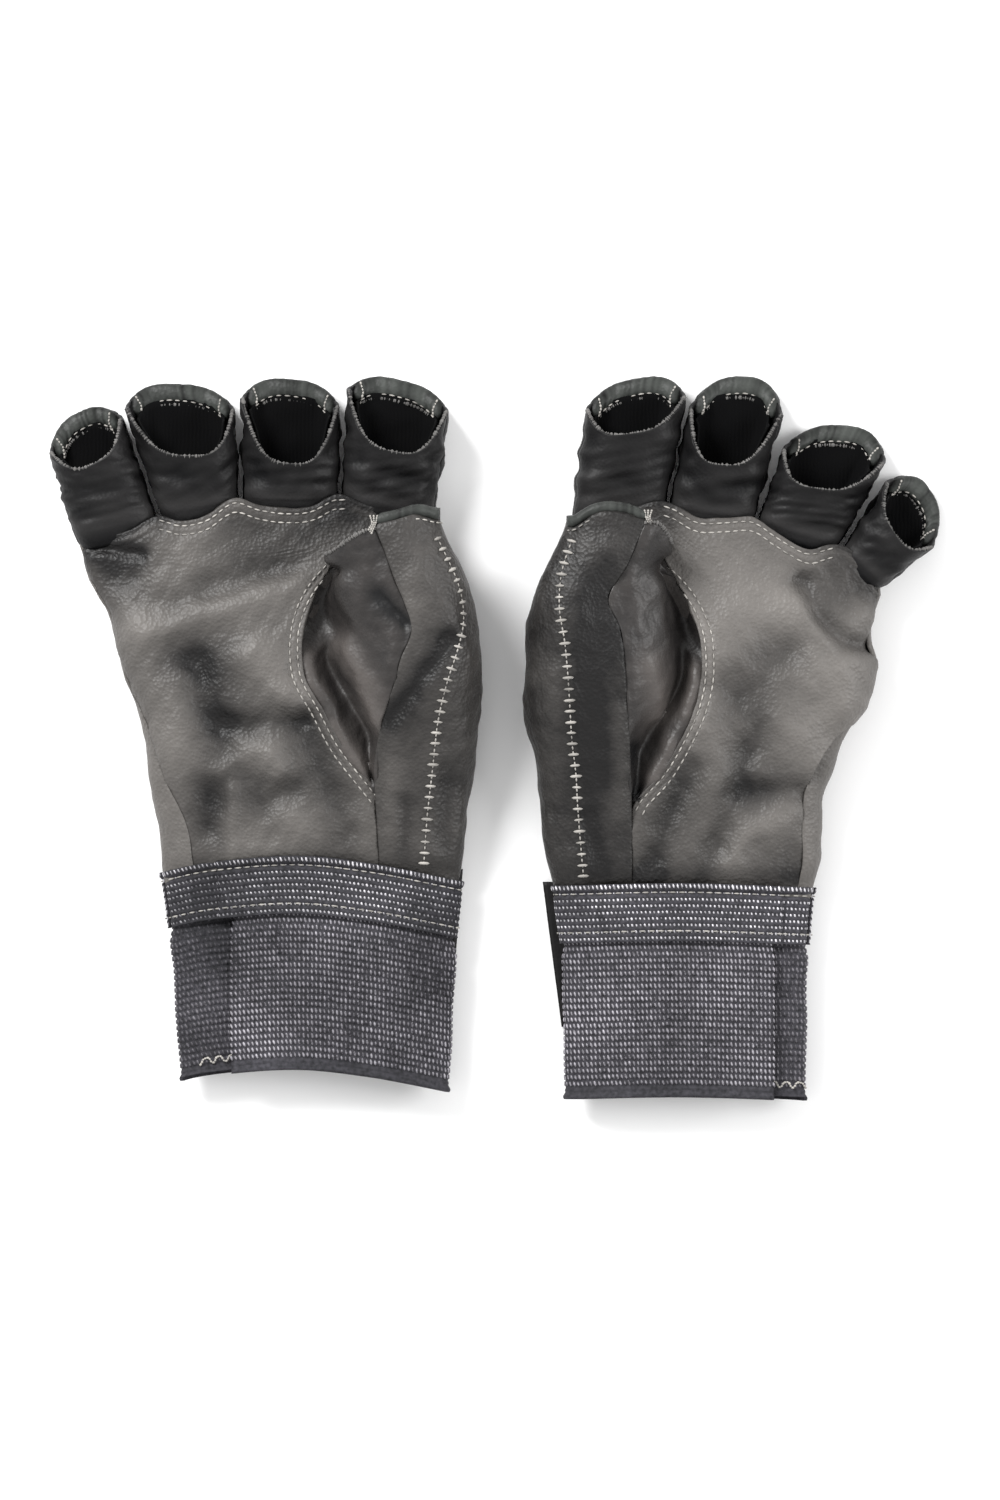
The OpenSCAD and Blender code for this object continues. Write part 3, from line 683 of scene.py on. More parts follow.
def stall_grid(stall, rows, start, end, columns):
    turn = np.linspace(start, end, 240)
    return np.array([even_steps(stall_surface(stall, f, turn, 0.0), columns) for f in rows])


def stall_core(stall, rows):
    rows = np.asarray(rows, float)
    line = stall_surface(stall, rows, np.zeros(len(rows)), 0)
    line = (line + stall_surface(stall, rows, np.full(len(rows), math.pi), 0)) / 2
    return line


def stall_axis(glove, digit):
    stall = STALLS[glove][digit]
    base = (np.array(stall[0]) + np.array(stall[1])) / 2
    tip = (np.array(stall[2]) + np.array(stall[3])) / 2
    return (base, (tip - base) / np.linalg.norm(tip - base))


def bend_at_root(piece):
    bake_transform(piece)


def crumple(grid, seed):
    """Soft wrinkles that lie mostly across a stall."""
    squeezed = grid * np.array([0.3, 1, 0.5])
    return (0.45 * wander(squeezed, 7, seed) + 0.2 * wander(grid, 9, seed + 1)
            + 0.26 * wander(squeezed, 3, seed + 2))


stall_leather = leather("stall_leather", (0.0018, 0.0018, 0.0022), (0.027, 0.026, 0.026),
                        0.47, 0.14, 0.3, 0.16)
STALL_ROWS = np.concatenate([np.linspace(-0.16, 0.9, 44), np.linspace(0.92, 1, 5)])
for (g, glove) in enumerate(SIDE):
    for (d, digit) in enumerate(DIGITS):
        stall = STALLS[glove][digit]
        parts = {"palm": (PALM_SEAM, math.pi - PALM_SEAM, 48),
                 "back": (math.pi + BACK_SEAM, 2 * math.pi - BACK_SEAM, 36),
                 "thumb_strip": (-BACK_SEAM, PALM_SEAM, 12),
                 "little_strip": (math.pi - PALM_SEAM, math.pi + BACK_SEAM, 12)}
        for (p, (part, (start, end, columns))) in enumerate(parts.items()):
            grid = stall_grid(stall, STALL_ROWS, start, end, columns)
            core = stall_core(stall, STALL_ROWS)
            normal = outward(grid, core)
            height = crumple(grid, 40 + 20 * g + 4 * d) * np.sin(np.clip(STALL_ROWS, 0.04, 0.9) * 3)[:, None]
            tuck = np.clip((0.12 - STALL_ROWS) / 0.28, 0, 1)
            height = height - (3.2 * (1 - np.sqrt(1 - tuck**2)))[:, None]
            height = np.where(grid[..., 2] < 2.5, np.minimum(height, 0), height)
            seam_dip = np.minimum(np.arange(columns), np.arange(columns)[::-1])
            height = height - 0.35 * np.exp(-(seam_dip / 1.2) ** 2)
            grid = grid + normal * height[..., None]
            # tone: wrinkle ridges painted lighter, their hollows, the seam grooves and the base tucked under
            # the palm painted darker by their height; the palm side's puffed base is browner and carries a
            # painted sheen
            base_tint_and_sheen = np.exp(-((STALL_ROWS - 0.14) / 0.13) ** 2)[:, None]
            tone = 0.26 + 0.26 * height + 0.5 * base_tint_and_sheen * (part == "palm")
            piece = shell(f"{glove}_{digit}_stall_{part}", glove, grid, outward(grid, core), LEATHER_THICK,
                          stall_leather, tone)
            if part in ("palm", "back"):
                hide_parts(f"{glove}_{digit}_{part}")
            else:
                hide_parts(f"{glove}_{digit}_fourchette")
            bend_at_root(piece)


# Linings: thin black knit, loose inside the hand, the thumb and each stall. It is seen in the
# open mouths, a little short of their edges.
def knit(name, colour):
    (material, tree, shader, place) = start_material(name, 0.95, 0.1)
    shader.inputs["Base Color"].default_value = (*colour, 1)
    wales = add_node(tree, "ShaderNodeTexWave", {"Vector": place, "Scale": 280, "Distortion": 3})
    add_bump(tree, shader, wales.outputs["Fac"], 0.25, 0.0003)
    return material


# the knit's near-black colour is partly painted shade: it is set darker than black knit to stand for the
# shade inside the mouths
lining_knit = knit("lining_knit", (0.0016, 0.0016, 0.0018))
LINING_THICK = 0.6
LINING_DEPTH = 1.9
for (g, glove) in enumerate(SIDE):
    rows = np.arange(2, PALM_END - 1, 3.0)
    turn = np.linspace(0, 2 * math.pi, 90, endpoint=False)
    grid = hand_surface(glove, rows[:, None], turn[None, :], LINING_DEPTH + 1.4)
    beside_thumb = np.clip((grid[..., 0] + 14) / 8, 0, 1) * np.clip((grid[..., 1] - 14) / 8, 0, 1)
    grid[..., 2] = np.minimum(grid[..., 2], 13 - 6.5 * beside_thumb)
    core = np.stack([0 * rows, rows, TOP(rows) / 2], -1)
    piece = shell(f"{glove}_hand_lining_knit", glove, grid, outward(grid, core, True), LINING_THICK,
                  lining_knit, 0, closed=True)
    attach(piece, f"{glove}_hand")
    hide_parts(f"{glove}_hand_lining")
    for (d, digit) in enumerate(DIGITS):
        stall = STALLS[glove][digit]
        f = np.linspace(0, 0.9, 20)
        turn = np.linspace(0, 2 * math.pi, 72, endpoint=False)
        grid = stall_surface(stall, f[:, None], turn[None, :], LINING_DEPTH)
        core = stall_core(stall, f)
        normal = outward(grid, core, True)
        grid = grid + normal * (-0.8 + 0.3 * wander(grid, 8, 70 + g + d))[..., None]
        piece = shell(f"{glove}_{digit}_lining_knit", glove, grid, normal, LINING_THICK, lining_knit, 0,
                      closed=True)
        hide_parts(f"{glove}_{digit}_lining")
        bend_at_root(piece)


def thumb_ring(glove, row, depth, count=72):
    """Ring inside the free end of the thumb, by its row."""
    (thumb, pocket) = (CUT[glove]["thumb"](row), POCKET_EDGE[glove](row))
    turn = np.linspace(0, 2 * math.pi, count, endpoint=False)
    half = (thumb - pocket) / 2 - 1.5 * depth
    a = (thumb + pocket) / 2 + 1 + half * signed_power(np.cos(turn))
    z = 27.6 + (7.4 - depth) * signed_power(np.sin(turn))
    return np.stack([a, np.full(count, row), z], -1)


for glove in SIDE:
    rows = np.arange(THUMB_END[glove] - 8, THUMB_END[glove] - 0.9, 1.0)
    grid = slant_to_mouth(np.array([thumb_ring(glove, row, LINING_DEPTH) for row in rows]), glove)
    grid[..., 1] -= 1.0
    core = np.stack([0 * rows + 20, rows, 0 * rows + 27], -1)
    piece = shell(f"{glove}_thumb_lining_knit", glove, grid, outward(grid, core, True), LINING_THICK,
                  lining_knit, 0, closed=True)
    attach(piece, f"{glove}_thumb")
    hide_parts(f"{glove}_thumb_lining")


# Hems: at each mouth the back's edge is turned in over itself and sewn down, a soft roll about
# five millimetres deep whose inside is worn to a grey green. The thumb's hem is a thinner roll.
hem_leather = leather("hem_leather", (0.003, 0.0033, 0.003), (0.06, 0.065, 0.06),
                      0.48, 0.2, 0.3, 0.22)
ROLL_SIDES = 18


def roll(name, glove, path, along, up, depth, tall, seed):
    """A flattened roll on a path: along points over its depth, up over its height."""
    turn = np.linspace(0, 2 * math.pi, ROLL_SIDES, endpoint=False)
    count = len(path)
    end = np.sqrt(np.clip(np.minimum(np.arange(count), np.arange(count)[::-1]) / 3, 0.12, 1))
    pleat = 0.05 * wander(path, 1.5, seed) + 0.04 * wander(path, 8, seed + 1)
    size = (end * (1 + 0.4 * pleat))[:, None]
    grid = (path[:, None, :]
            + along[:, None, :] * (depth / 2 * size * np.cos(turn))[..., None]
            + up[:, None, :] * (tall / 2 * size * np.sin(turn))[..., None])
    index = np.arange(count * ROLL_SIDES).reshape(-1, ROLL_SIDES)
    ring = np.concatenate([index, index[:, :1]], 1)
    faces = np.stack([ring[:-1, :-1], ring[:-1, 1:], ring[1:, 1:], ring[1:, :-1]], -1).reshape(-1, 4)
    vertices = grid.reshape(-1, 3)
    caps = []
    for (line, centre, flip) in ((index[0], path[0], False), (index[-1], path[-1], True)):
        vertices = np.concatenate([vertices, centre[None, :]])
        hub = len(vertices) - 1
        fan = np.stack([np.full(ROLL_SIDES, hub), np.roll(line, -1), line], -1)
        caps.append(fan[:, ::-1] if flip else fan)
    vertices = to_row(glove, vertices)
    centre = vertices.mean(0)
    (p, q, r) = [vertices[faces[:, k]] - centre for k in range(3)]
    all_faces = [list(face) for face in faces] + [list(face) for cap in caps for face in cap]
    if np.einsum("ij,ij->i", p, np.cross(q, r)).sum() < 0:
        all_faces = [face[::-1] for face in all_faces]
    # tone: the creases along the pleats painted darker and the puffs between them painted lighter; across
    # the roll its top is painted lighter and its edges and underside darker
    tone = 0.42 + 3.2 * np.repeat(pleat, ROLL_SIDES)
    tone = tone + 0.2 * np.tile(np.sin(turn) - np.abs(np.cos(turn)), count)
    tone = np.concatenate([tone, [0.4, 0.4]])
    all_faces = [[int(v) for v in face] for face in all_faces]
    return add_piece(name, vertices, all_faces, hem_leather, tone)


def unit(v):
    return v / np.maximum(np.linalg.norm(v, axis=-1, keepdims=True), 1e-9)


hem_lines = {}
for (g, glove) in enumerate(SIDE):
    for (d, digit) in enumerate(DIGITS):
        stall = STALLS[glove][digit]
        turn = np.linspace(math.pi + 0.36, 2 * math.pi - 0.36, 400)
        path = even_steps(stall_surface(stall, np.full(400, 0.985), turn, 1.5), 70)
        (base, way) = stall_axis(glove, digit)
        along = np.tile([*way, 0.0], (70, 1))
        core = stall_core(stall, [1.0])[0]
        inward = core - path
        inward -= np.sum(inward * along, axis=1)[:, None] * along
        inward = unit(inward)
        path = path + inward * 0.4 - along * 1.4
        piece = roll(f"{glove}_{digit}_hem", glove, path, along, inward, 6, 3.8, 80 + 4 * g + d)
        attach(piece, f"{glove}_{digit}")
        hem_lines[glove, digit] = (path, along, inward)
    last = THUMB_END[glove]
    ring = thumb_ring(glove, last, 0.6, 400)
    ring = ring[(ring[:, 2] > 26) & (ring[:, 0] > CUT[glove]["seam"](last) - 1)]
    ring = ring[np.argsort(-ring[:, 0])]
    ring = slant_to_mouth(ring, glove)
    ring = even_steps(ring, 60)
    up = np.tile([0.0, 0.0, 1.0], (60, 1))
    along = np.tile([0.0, 1.0, 0.0], (60, 1))
    piece = roll(f"{glove}_thumb_hem_roll", glove, ring + along * 1.2, along, up, 3.4, 3.2, 90 + g)
    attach(piece, f"{glove}_thumb")
    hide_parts(f"{glove}_thumb_hem")
    hem_lines[glove, "thumb"] = (ring, along, up)


# Wrist bands: ribbed elastic webbing woven with thick cross yarns. A 20 mm collar covers the
# edge of the leather, and a 50 mm band sewn inside it is hemmed below and slit by the little
# finger, where one end laps under the other.
# The bands' thumb side and little side by b, how the collar's upper edge bows by a, and the
# slit's place across
WRIST = {"right": (curve((-65, 39.4), (-20, 42), (0, 43.6)), curve((-65, -37.5), (-20, -41), (0, -43.6)),
                   curve((-44, 0), (-33, 2.6), (-22, 4), (-3, 5), (16, 3), (44, -2.5)), -23),
         "left": (curve((-65, 34.3), (-20, 35.5), (0, 37.9)), curve((-65, -35.2), (-20, -36), (0, -37.9)),
                  curve((-38, -0.5), (0, 0.8), (38, 0)), -26)}
WRIST_MIDDLE = 8.2
WEB_THICK = 1.2
COLLAR_LONG = 17
CUFF_LONG = 62
HEM_LINE = 3 - CUFF_LONG
RIB = 1.85


def wrist_surface(glove, row, turn, depth):
    (thumb, little, bow, _) = WRIST[glove]
    a = (thumb(row) + little(row)) / 2
    a = a + ((thumb(row) - little(row)) / 2 - depth) * signed_power(np.cos(turn))
    up = ring_up(turn)
    rise = 0.32 * np.clip(bow(a), 0, 5) * np.clip((row + 9) / 9, 0, 1) ** 2 * np.clip(up, 0, 1)
    return np.stack([a, row + bow(a), WRIST_MIDDLE + (6 - depth) * up + rise + 0 * row], -1)


def wrist_grid(glove, rows, start, end, columns, depth):
    lines = []
    for row in rows:
        turn = np.linspace(start(row), end(row), 400)
        lines.append(even_steps(wrist_surface(glove, row + 0 * turn, turn, depth(row, turn)), columns))
    return np.array(lines)


def webbing(name, dark, light):
    (material, tree, shader, place) = start_material(name, 0.8, 0.3)
    cloud = add_node(tree, "ShaderNodeTexNoise", {"Vector": place, "Scale": 34, "Detail": 4})
    yarn = add_node(tree, "ShaderNodeTexNoise", {"Vector": place, "Scale": 900})
    both = add_node(tree, "ShaderNodeMath", {0: cloud.outputs["Fac"], 1: yarn.outputs["Fac"]},
                    operation="MULTIPLY")
    add_colour(tree, shader, both.outputs[0], 0.12, dark, 0.42, light)
    add_bump(tree, shader, yarn.outputs["Fac"], 0.5, 0.0003)
    return material


band_webbing = webbing("band_webbing", (0.01, 0.01, 0.012), (0.05, 0.048, 0.057))
yarn_webbing = webbing("yarn_webbing", (0.016, 0.015, 0.02), (0.44, 0.42, 0.46))
collar_webbing = webbing("collar_webbing", (0.05, 0.048, 0.056), (0.9, 0.88, 0.92))
shaded_webbing = webbing("shaded_webbing", (0.01, 0.01, 0.013), (0.2, 0.19, 0.21))
band_rows = {}
underlaps = {}


def wrist_band(glove, name, rows, start, end, columns, depth):
    grid = wrist_grid(glove, rows, start, end, columns, depth)
    core = np.stack([0 * rows, rows, 0 * rows + WRIST_MIDDLE], -1)
    normal = outward(grid, core)
    # one low wave for each cross yarn
    rib = 0.16 * np.cos(2 * math.pi * rows / RIB)
    wave = rib[:, None] + 0.25 * wander(grid, 22, 101)
    if name == "collar":
        edge = 0.55 * np.exp(-((rows + 0.8) / 0.8) ** 2) - 0.5 * np.exp(-((rows + 2.4) / 0.5) ** 2)
    else:
        edge = 0.6 * np.clip(HEM_LINE - rows, 0, 1) - 0.4 * np.exp(-((rows - HEM_LINE + 0.7) / 0.4) ** 2)
    grid = grid + normal * (wave + edge[:, None])[..., None]
    lower_edge = 0.7 if name == "collar" else WEB_THICK
    thick = np.interp(rows, (-COLLAR_LONG, 2 - COLLAR_LONG), (lower_edge, WEB_THICK))
    thick = np.broadcast_to(thick[:, None], grid.shape[:2])
    piece = shell(f"{glove}_{name}_webbing", glove, grid, normal, thick, band_webbing, 0)
    step = rows[1] - rows[0]
    every = max(1, round(RIB / abs(step)))
    band_rows[glove, name] = [(grid[k], normal[k]) for k in range(every // 2, len(rows), every)
                              if rows[k] > HEM_LINE]
    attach(piece, f"{glove}_hand")
    return piece


for glove in SIDE:
    fine = RIB / 5
    slit = WRIST[glove][3]

    def slit_turn(row):
        (thumb, little) = (WRIST[glove][0](row), WRIST[glove][1](row))
        return turn_at((slit - (thumb + little) / 2) / ((thumb - little) / 2))

    def cuff_depth(row):
        return np.interp(row, (-21, -COLLAR_LONG), (0.1, 1.35))

    def collar_depth(row, turn):
        return 1.1 * np.clip((turn - 2 * math.pi - slit_turn(row) - 0.12) / 0.02, 0, 1)

    collar_rows = np.arange(0, -COLLAR_LONG - 0.01, -fine)
    piece = wrist_band(glove, "collar", collar_rows, lambda row: math.pi + 0.02,
                       lambda row: 3 * math.pi - 0.02, 200, collar_depth)
    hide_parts(f"{glove}_collar_band")
    cuff_rows = np.arange(-14, -CUFF_LONG - 0.01, -fine)
    piece = wrist_band(glove, "cuff", cuff_rows, slit_turn, lambda row: -math.pi + 0.03, 160,
                       lambda row, turn: cuff_depth(row))
    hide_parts(f"{glove}_cuff_band")

    def lap_depth(row, turn):
        share = np.clip((math.pi - turn) / (math.pi - slit_turn(row)) / 0.8, 0, 1)
        return cuff_depth(row) + 0.15 + 2.6 * share * share * (3 - 2 * share)

    piece = wrist_band(glove, "underlap", cuff_rows[:-3], lambda row: math.pi - 0.01,
                       lambda row: slit_turn(row) - 0.3, 48, lap_depth)
    underlaps[glove] = piece
    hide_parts(f"{glove}_cuff_underlap")


# Back strap: two layers of black leather sewn down flat at the back of the wrist. It is seen
# only as a strip past the collar's thumb side on one glove.
for glove in SIDE:
    (low, high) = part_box(f"{glove}_back_strap")
    (collar_low, collar_high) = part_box(f"{glove}_collar_band")
    shift = (collar_low[0] + collar_high[0]) / 2
    ends = sorted(SIDE[glove] * (x - shift) / MM for x in (low[0], high[0]))
    rows = np.linspace((high[1] - collar_high[1]) / MM, (low[1] - collar_high[1]) / MM, 40)
    lean = -3.5 if glove == "right" else -5.5
    edge = ends[1] + lean * np.linspace(0, 1, 40)
    for (layer, z, width) in (("lower", 0.8, 14), ("upper", 1.75, 13)):
        share = np.linspace(0, 1, 12)
        grid = np.array([[(e - width * w, b, z) for w in share] for (e, b) in zip(edge, rows)])
        grid[..., 2] += 0.06 * wander(grid[..., :2], 9, 111)
        core = grid.mean(1) - np.array([0, 0, 20])
        piece = shell(f"{glove}_strap_{layer}", glove, grid, outward(grid, core), 0.75, stall_leather, 0.3)
        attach(piece, f"{glove}_hand")
        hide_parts(f"{glove}_back_strap")


# Sewing and yarns: waxed off-white thread in lockstitch rows, ladder bars and bar tacks, the
# fuzz of the raw cut edges, and the webbing's cross yarns. One tree lays all of them: an oval
# bead on every step of a line, its length along the line and its top along the surface.
def bead_tree():
    tree = bpy.data.node_groups.new("beads_along_lines", "GeometryNodeTree")
    face = tree.interface
    face.new_socket("Geometry", in_out="INPUT", socket_type="NodeSocketGeometry")
    for (name, value) in (("Pitch", 0.003), ("Length", 0.0022), ("Width", 0.0006), ("Height", 0.0006),
                          ("Jitter", 0.1), ("Lean", 0.0)):
        face.new_socket(name, in_out="INPUT", socket_type="NodeSocketFloat").default_value = value
    face.new_socket("Finish", in_out="INPUT", socket_type="NodeSocketMaterial")
    face.new_socket("Geometry", in_out="OUTPUT", socket_type="NodeSocketGeometry")
    given = add_node(tree, "NodeGroupInput").outputs
    line = add_node(tree, "GeometryNodeMeshToCurve", {"Mesh": given["Geometry"]})
    steps = add_node(tree, "GeometryNodeResampleCurve",
                     {"Curve": line.outputs["Curve"], "Length": given["Pitch"]}, mode="LENGTH")
    tangent = add_node(tree, "GeometryNodeInputTangent").outputs["Tangent"]
    top = add_node(tree, "GeometryNodeInputNamedAttribute", {"Name": "up"}, data_type="FLOAT_VECTOR")
    top = top.outputs["Attribute"]
    sideways = add_node(tree, "ShaderNodeVectorMath", {0: top, 1: tangent}, operation="CROSS_PRODUCT")
    leant = add_node(tree, "ShaderNodeVectorMath",
                     {0: sideways.outputs["Vector"], "Scale": given["Lean"]}, operation="SCALE")
    way = add_node(tree, "ShaderNodeVectorMath", {0: tangent, 1: leant.outputs["Vector"]})
    first = add_node(tree, "FunctionNodeAlignRotationToVector", {"Vector": way.outputs["Vector"]}, axis="X")
    second = add_node(tree, "FunctionNodeAlignRotationToVector",
                      {"Rotation": first.outputs["Rotation"], "Vector": top}, axis="Z", pivot_axis="X")
    bead = add_node(tree, "GeometryNodeMeshIcoSphere", {"Radius": 0.5, "Subdivisions": 1})
    size = add_node(tree, "ShaderNodeCombineXYZ",
                    {"X": given["Length"], "Y": given["Width"], "Z": given["Height"]})
    chance = add_node(tree, "FunctionNodeRandomValue", {"Seed": 7}, data_type="FLOAT")
    away = add_node(tree, "ShaderNodeMath", {0: chance.outputs[1], 1: 0.5}, operation="SUBTRACT")
    spread = add_node(tree, "ShaderNodeMath", {0: away.outputs[0], 1: given["Jitter"], 2: 1},
                      operation="MULTIPLY_ADD")
    sized = add_node(tree, "ShaderNodeVectorMath", {0: size.outputs[0], "Scale": spread.outputs[0]},
                     operation="SCALE")
    laid = add_node(tree, "GeometryNodeInstanceOnPoints",
                    {"Points": steps.outputs["Curve"], "Instance": bead.outputs["Mesh"],
                     "Rotation": second.outputs["Rotation"], "Scale": sized.outputs["Vector"]})
    real = add_node(tree, "GeometryNodeRealizeInstances", {"Geometry": laid.outputs["Instances"]})
    smooth = add_node(tree, "GeometryNodeSetShadeSmooth", {"Geometry": real.outputs["Geometry"]})
    finish = add_node(tree, "GeometryNodeSetMaterial",
                      {"Geometry": smooth.outputs["Geometry"], "Material": given["Finish"]})
    add_node(tree, "NodeGroupOutput", {"Geometry": finish.outputs["Geometry"]})
    return tree


beads = bead_tree()


def lay_beads(name, body, lines, pitch, size, jitter, material, lean=0.0):
    """A bead of one size on every step of each line: its points in metres and their up vectors."""
    (points, ups, edges) = ([], [], [])
    for (line, up) in lines:
        start = len(points)
        points += [tuple(p) for p in line]
        ups += [tuple(u) for u in up]
        edges += [(start + k, start + k + 1) for k in range(len(line) - 1)]
    mesh = bpy.data.meshes.new(name)
    mesh.from_pydata(points, edges, [])
    mesh.attributes.new("up", "FLOAT_VECTOR", "POINT").data.foreach_set("vector", np.array(ups).ravel())
    source = bpy.data.objects.new(name, mesh)
    bpy.context.collection.objects.link(source)
    modifier = source.modifiers.new("beads", "NODES")
    modifier.node_group = beads
    values = {"Pitch": pitch * MM, "Jitter": jitter, "Lean": lean, "Finish": material}
    values.update(zip(("Length", "Width", "Height"), [v * MM for v in size]))
    for item in beads.interface.items_tree:
        if item.in_out == "INPUT" and item.name in values:
            modifier[item.identifier] = values[item.name]
    ready = source.evaluated_get(bpy.context.evaluated_depsgraph_get())
    made = bpy.data.meshes.new_from_object(ready)
    made.name = name
    source.modifiers.remove(modifier)
    bpy.data.objects.remove(source)
    if not made.materials:
        made.materials.append(material)
    piece = bpy.data.objects.new(name, made)
    bpy.context.collection.objects.link(piece)
    if body:
        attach(piece, body)
    return piece


def thread_finish(name, colour, rough):
    (material, tree, shader, place) = start_material(name, rough, 0.5)
    soil = add_node(tree, "ShaderNodeTexNoise", {"Vector": place, "Scale": 160})
    add_colour(tree, shader, soil.outputs["Fac"], 0.3, [c * 0.45 for c in colour], 0.65, colour)
    return material


thread = thread_finish("thread", (0.42, 0.4, 0.37), 0.8)
cut_fuzz = thread_finish("cut_fuzz", (0.15, 0.145, 0.14), 0.95)


def surface_tree(piece):
    vertices = [v.co.copy() for v in piece.data.vertices]
    return BVHTree.FromPolygons(vertices, [tuple(p.vertices) for p in piece.data.polygons])


def draped_line(glove, tree, knots, lift=0.15, count=160):
    """A line of (a, b) knots laid on a finished piece from above."""
    knots = np.array(knots, float)
    run = np.linspace(0, 1, len(knots))
    fine = np.linspace(0, 1, count)
    flat = np.stack([curve(*zip(run, knots[:, k]))(fine) for k in (0, 1)], -1)
    (line, up) = ([], [])
    for (a, b) in even_steps(flat, count):
        start = Vector(to_row(glove, (a, b, 60)))
        (hit, normal, _, _) = tree.ray_cast(start, Vector((0, 0, -1)))
        if hit is None:
            continue
        line.append(hit + normal * (lift * MM))
        up.append(normal)
    return (line, up)


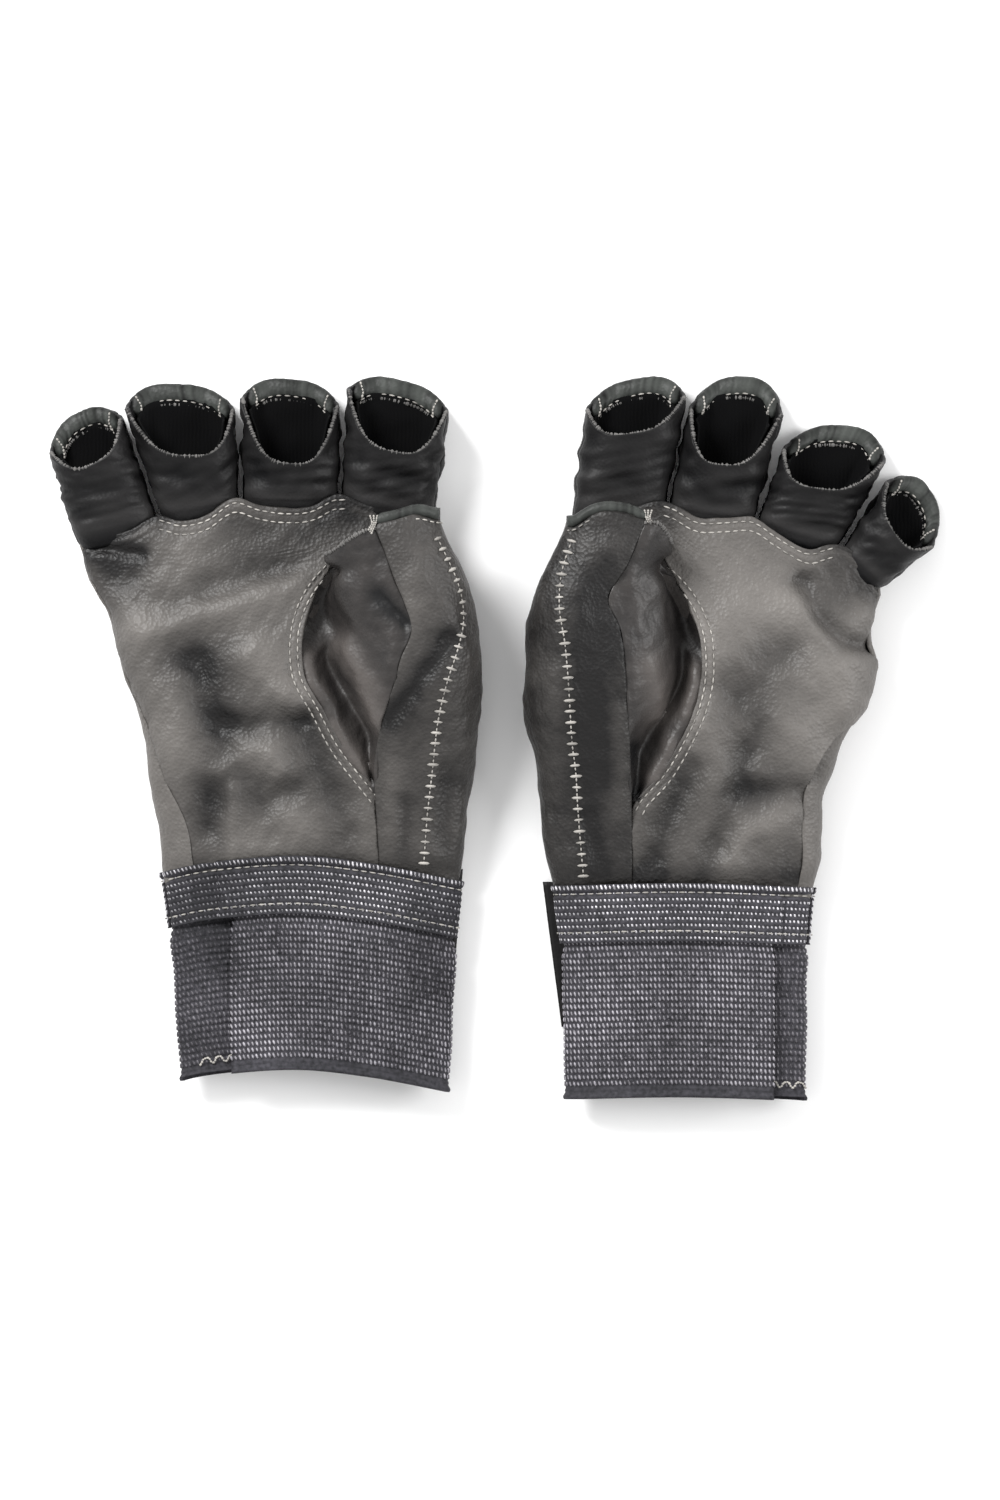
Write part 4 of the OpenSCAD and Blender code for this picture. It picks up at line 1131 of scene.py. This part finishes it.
LADDER = {"right": ((32.5, 3), (33.5, 17), (35, 30), (36.5, 43), (39, 54), (43, 67), (43.8, 75), (42, 84),
                    (36.5, 96)),
          "left": ((29, 3), (30.5, 20), (31.2, 32), (32.5, 43), (33.5, 59), (34.5, 70), (36, 80), (35.3, 90),
                   (32.5, 99))}
BASE_SEAM = {"right": (-43, 9), "left": (-42, 5)}
for glove in SIDE:
    (cut, hand, thumb) = (CUT[glove], f"{glove}_hand", f"{glove}_thumb")
    flip = np.array([SIDE[glove], 1, 1])
    palm_tree = surface_tree(palms[glove])
    side_tree = surface_tree(side_panels[glove])
    rows_b = np.linspace(23, 87.5 if glove == "right" else 90, 26)
    lines = []
    for inset in ARC_STITCHES:
        edge = np.stack([cut["arc"](rows_b), rows_b], -1)
        along = unit(np.gradient(edge, axis=0))
        inside = np.stack([-along[:, 1], along[:, 0]], -1)
        lines.append(draped_line(glove, palm_tree, edge + inside * inset))
    across = np.linspace(*BASE_SEAM[glove], 30)
    for inset in FRONT_STITCHES:
        lines.append(draped_line(glove, palm_tree, np.stack([across, cut["front"](across) - inset], -1)))
    piece = lay_beads(f"{glove}_palm_topstitch", hand, lines, 2.3, (1.95, 0.5, 0.5), 0.3, thread)
    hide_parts(f"{glove}_seam_threads")

    line = draped_line(glove, side_tree, LADDER[glove], 0.2, 300)
    bars = lay_beads(f"{glove}_ladder_bars", None, [line], 3.3, (0.95, 3.6, 0.7), 0.3, thread)
    spine = lay_beads(f"{glove}_ladder_spine", None, [line], 1.6, (1.3, 0.5, 0.4), 0.25, thread)
    for piece in (bars, spine):
        bend_with_thumb(piece)

    collar_rows = band_rows[glove, "collar"]
    lines = []
    for k in (1, 7):
        (line, up) = collar_rows[k]
        lines.append((to_row(glove, line + up * 0.35), up * flip))
    lay_beads(f"{glove}_collar_topstitch", hand, lines, 2.6, (2.0, 0.5, 0.45), 0.3, thread)
    finishes = {"collar": collar_webbing, "cuff": yarn_webbing, "underlap": shaded_webbing}
    for (name, finish) in finishes.items():
        lines = [(to_row(glove, line - up * 0.08), up * flip) for (line, up) in band_rows[glove, name]]
        lay_beads(f"{glove}_{name}_yarns", hand, lines, 1.22, (0.66, 1.6, 0.5), 0.3,
                  finish, 0.32)

    for digit in DIGITS:
        stall = STALLS[glove][digit]
        body = f"{glove}_{digit}"
        (path, along, inward) = hem_lines[glove, digit]
        row = path[4:-4] - along[4:-4] * 2.1 + inward[4:-4] * 1.55
        tacks = []
        for k in (3, -4):
            ends = np.array([path[k] + along[k] * 2.6 + inward[k] * 0.8, path[k] + inward[k] * 1.9,
                             path[k] - along[k] * 3 + inward[k] * 1.2])
            tacks.append((to_row(glove, even_steps(ends, 8)), np.tile(inward[k] * flip, (8, 1))))
        lines = [(to_row(glove, row), inward[4:-4] * flip)]
        lay_beads(f"{body}_hem_stitch", body, lines, 2.3, (1.8, 0.5, 0.5), 0.2, thread)
        lay_beads(f"{body}_bar_tacks", body, tacks, 0.9, (1.1, 0.8, 0.6), 0.3, thread)
        turn = np.linspace(0.05, math.pi - 0.05, 300)
        rim = even_steps(stall_surface(stall, np.full(300, 1.0), turn, 0.6), 90)
        up = unit(rim - stall_core(stall, [1.0])[0])
        turned = path[5:-5] - along[5:-5] * 3.3 + inward[5:-5] * 0.9
        lines = [(to_row(glove, rim), up * flip), (to_row(glove, turned), inward[5:-5] * flip)]
        lay_beads(f"{body}_raw_rim", body, lines, 0.34, (0.4, 0.9, 0.9), 1.5, cut_fuzz)

    (path, along, up) = hem_lines[glove, "thumb"]
    row = path[2:-2] - along[2:-2] * 1.4 + up[2:-2] * 0.7
    lines = [(to_row(glove, row), up[2:-2])]
    lay_beads(f"{glove}_thumb_hem_stitch", thumb, lines, 2.3, (1.8, 0.5, 0.5), 0.2, thread)

    # the raw edge of the inner panel at the mouth, and the knot where the hem's thread ends
    edge = gusset_mouths[glove]
    lines = [(to_row(glove, edge), np.tile([0, 0, 1.0], (len(edge), 1)))]
    lay_beads(f"{glove}_thumb_raw_edge", thumb, lines, 0.4, (0.45, 1.0, 0.9), 1.4, cut_fuzz)
    lines = []
    for k in range(3):
        tail = path[-1] + np.array([(0.4 * k - 1, -1.2 - 0.5 * k, 0.6), (0.5 * k, 0.6, 1.4),
                                    (k - 0.6, 2.6, 0.8)])
        lines.append((to_row(glove, even_steps(tail, 10)), np.tile([0, 0, 1.0], (10, 1))))
    lay_beads(f"{glove}_thumb_knot", thumb, lines, 0.6, (0.8, 0.6, 0.6), 0.4, thread)

    # bar tack that closes the foot of the wrist band's slit, a zigzag of heavy thread
    slit = WRIST[glove][3]
    knots = [(slit - 9 + 1.8 * k, -CUFF_LONG + 4.2 + 1.5 * (k % 2)) for k in range(6)]
    knots = [(a, b + WRIST[glove][2](a)) for (a, b) in knots]
    line = draped_line(glove, surface_tree(underlaps[glove]), knots, 0.5, 60)
    lay_beads(f"{glove}_slit_bar_tack", hand, [line], 0.8, (1.0, 0.7, 0.7), 0.3, thread)
